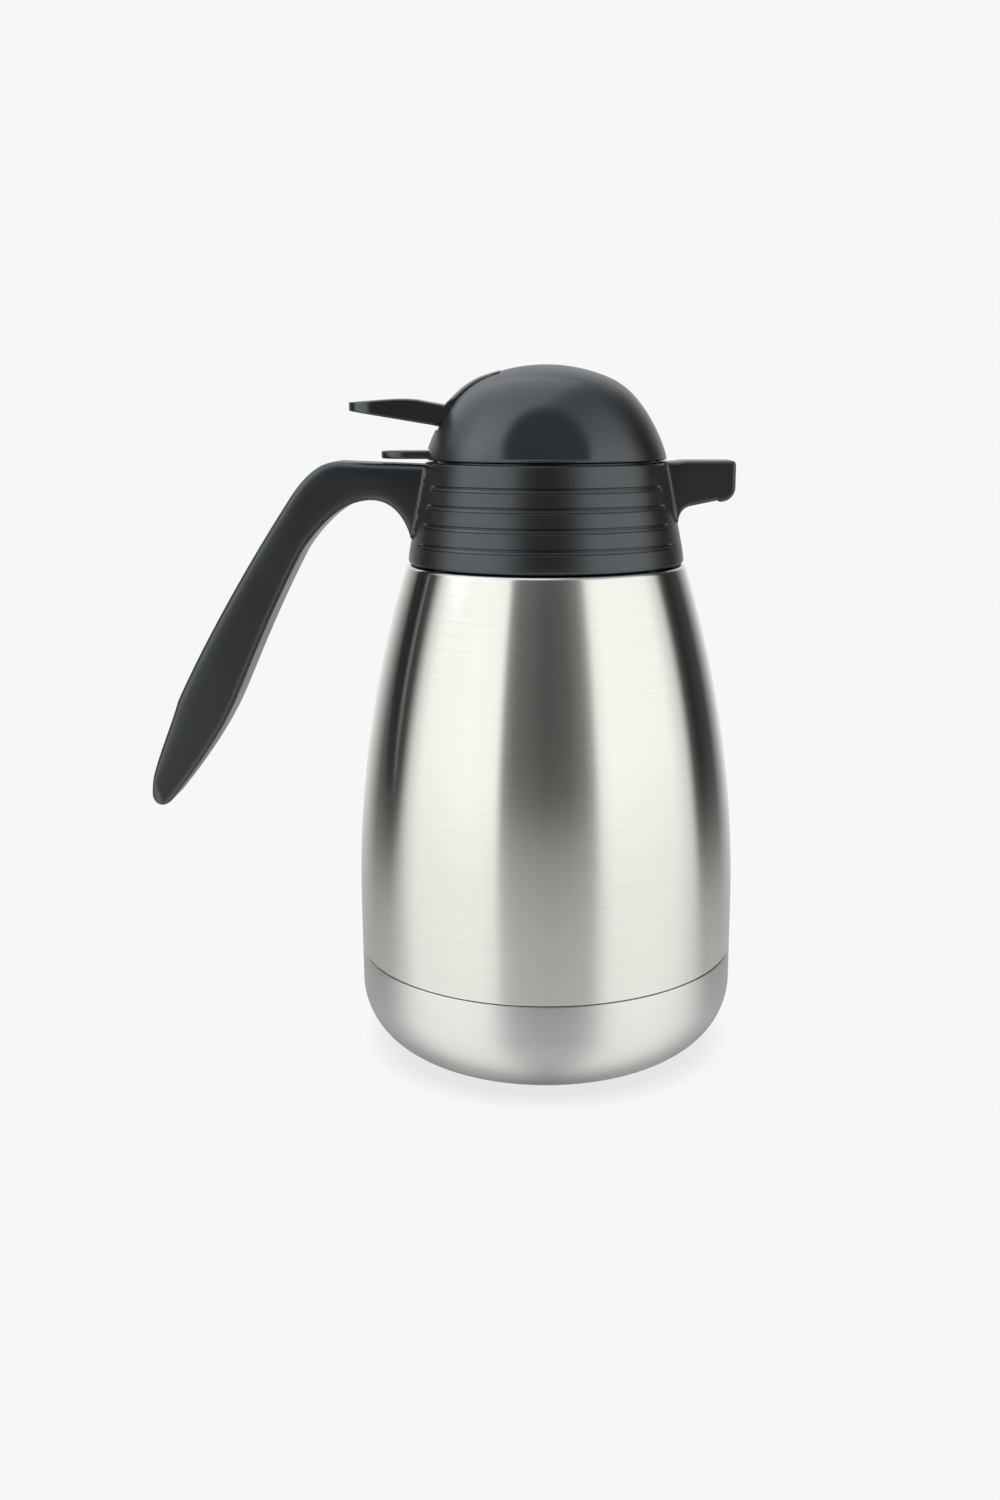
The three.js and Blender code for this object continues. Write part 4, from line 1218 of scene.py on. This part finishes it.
def make_floor():
    """A pale floor that glows. Mirror rays see a painted reflection: a pattern near the pot, with painted shade close
    to it, and the studio's pattern further off. The camera sees it evenly pale, darkened by a painted contact shadow at
    the foot.
    """
    span = 3000
    floor = make("floor", [(-span, -span, 0), (span, -span, 0), (span, span, 0), (-span, span, 0)], [[0, 1, 2, 3]])
    material, tree = blank("floor")
    place = add(tree, "TexCoord").outputs["Object"]
    distance = add(tree, "VectorMath", {0: place}, operation="LENGTH").outputs["Value"]
    incoming = add(tree, "NewGeometry").outputs["Incoming"]
    direction = add(tree, "VectorMath", {0: incoming, "Scale": -1.0}, operation="SCALE").outputs["Vector"]
    behind = add(tree, "SeparateXYZ", {0: direction}).outputs["Y"]
    reach = remap(tree, behind, *FLOOR_REACH, 0.0, 0.3)
    power = remap(tree, behind, *FLOOR_FALL, 0.0, 0.3)
    share = add(tree, "Math", {0: distance, 1: reach}, operation="DIVIDE").outputs[0]
    grown = add(tree, "Math", {0: share, 1: power}, operation="POWER").outputs[0]
    over_one = add(tree, "Math", {0: grown, 1: 1.0}, operation="ADD").outputs[0]
    near = add(tree, "Math", {0: 1.0, 1: over_one}, operation="DIVIDE").outputs[0]
    light = mixed(tree, near, by_angle(tree, direction, STUDIO), by_angle(tree, direction, PAINTED_FLOOR_REFLECTION))
    # Painted shade: the mirrored glow is darker close to the pot, where its foot shades the floor.
    light = tinted(tree, light, remap(tree, distance, 0.42, 1.0, 0.048, 0.074))
    # Painted contact shadow: the pale glow the camera sees is darkened by ambient occlusion around the foot.
    contact_shadow_ao = add(tree, "AmbientOcclusion", {"Distance": 0.01}, samples=8).outputs["AO"]
    pale = add(tree, "Emission", {"Color": tinted(tree, PALE, remap(tree, contact_shadow_ao, 0.84, 1.0, 0.2, 1.0))})
    # Painted reflection: the floor glows with this pattern for mirror rays only.
    painted_reflection = add(tree, "Emission", {"Color": light, "Strength": BRIGHTEST})
    matte = add(tree, "BsdfDiffuse", {"Color": (0.85, 0.85, 0.85, 1)})
    path = add(tree, "LightPath")
    mirror_or_matte = add(
        tree, "MixShader", {0: path.outputs["Is Glossy Ray"], 1: matte.outputs[0], 2: painted_reflection.outputs[0]}
    )
    surface = add(
        tree, "MixShader", {0: path.outputs["Is Camera Ray"], 1: mirror_or_matte.outputs[0], 2: pale.outputs[0]}
    )
    add(tree, "OutputMaterial", {"Surface": surface.outputs[0]})
    floor.data.materials.append(material)


def make_world():
    world = bpy.data.worlds.new("studio")
    bpy.context.scene.world = world
    world.use_nodes = True
    tree = world.node_tree
    tree.nodes.clear()
    direction = add(tree, "TexCoord").outputs["Generated"]
    height = add(tree, "SeparateXYZ", {0: direction}).outputs["Z"]
    overhead = remap(tree, height, 0.0, 1.0, 0.5, 0.88)
    colour = mixed(tree, overhead, by_angle(tree, direction, STUDIO), (0.3, 0.32, 0.34, 1))
    around = add(tree, "Background", {"Color": colour, "Strength": BRIGHTEST})
    seen = add(tree, "Background", {"Color": PALE, "Strength": 1.0})
    path = add(tree, "LightPath").outputs["Is Camera Ray"]
    both = add(tree, "MixShader", {0: path, 1: around.outputs[0], 2: seen.outputs[0]})
    add(tree, "OutputWorld", {"Surface": both.outputs[0]})


def make_softbox(name, place, target, size, watts, colour):
    lamp = bpy.data.lights.new(name, "AREA")
    lamp.shape = "RECTANGLE"
    lamp.size, lamp.size_y = size
    lamp.energy = watts
    lamp.color = colour
    obj = bpy.data.objects.new(name, lamp)
    bpy.context.scene.collection.objects.link(obj)
    obj.location = place
    obj.rotation_euler = (Vector(target) - Vector(place)).to_track_quat("-Z", "Y").to_euler()
    obj.visible_camera = False


def make_camera():
    data = bpy.data.cameras.new("camera")
    data.lens = 34.5
    data.shift_x = -0.0307
    data.clip_start = 0.01
    camera = bpy.data.objects.new("camera", data)
    bpy.context.scene.collection.objects.link(camera)
    camera.location = (0, -0.4927, 0.2192)
    camera.rotation_euler = (math.radians(76.9), 0, 0)
    bpy.context.scene.camera = camera


make_floor()
make_world()
make_softbox("top_softbox", (-0.4, 0.12, 0.95), (0, 0, 0.2), (1.4, 1.4), 5.0, (0.9, 0.96, 1.0))
make_camera()
bpy.context.scene.view_settings.view_transform = "Standard"
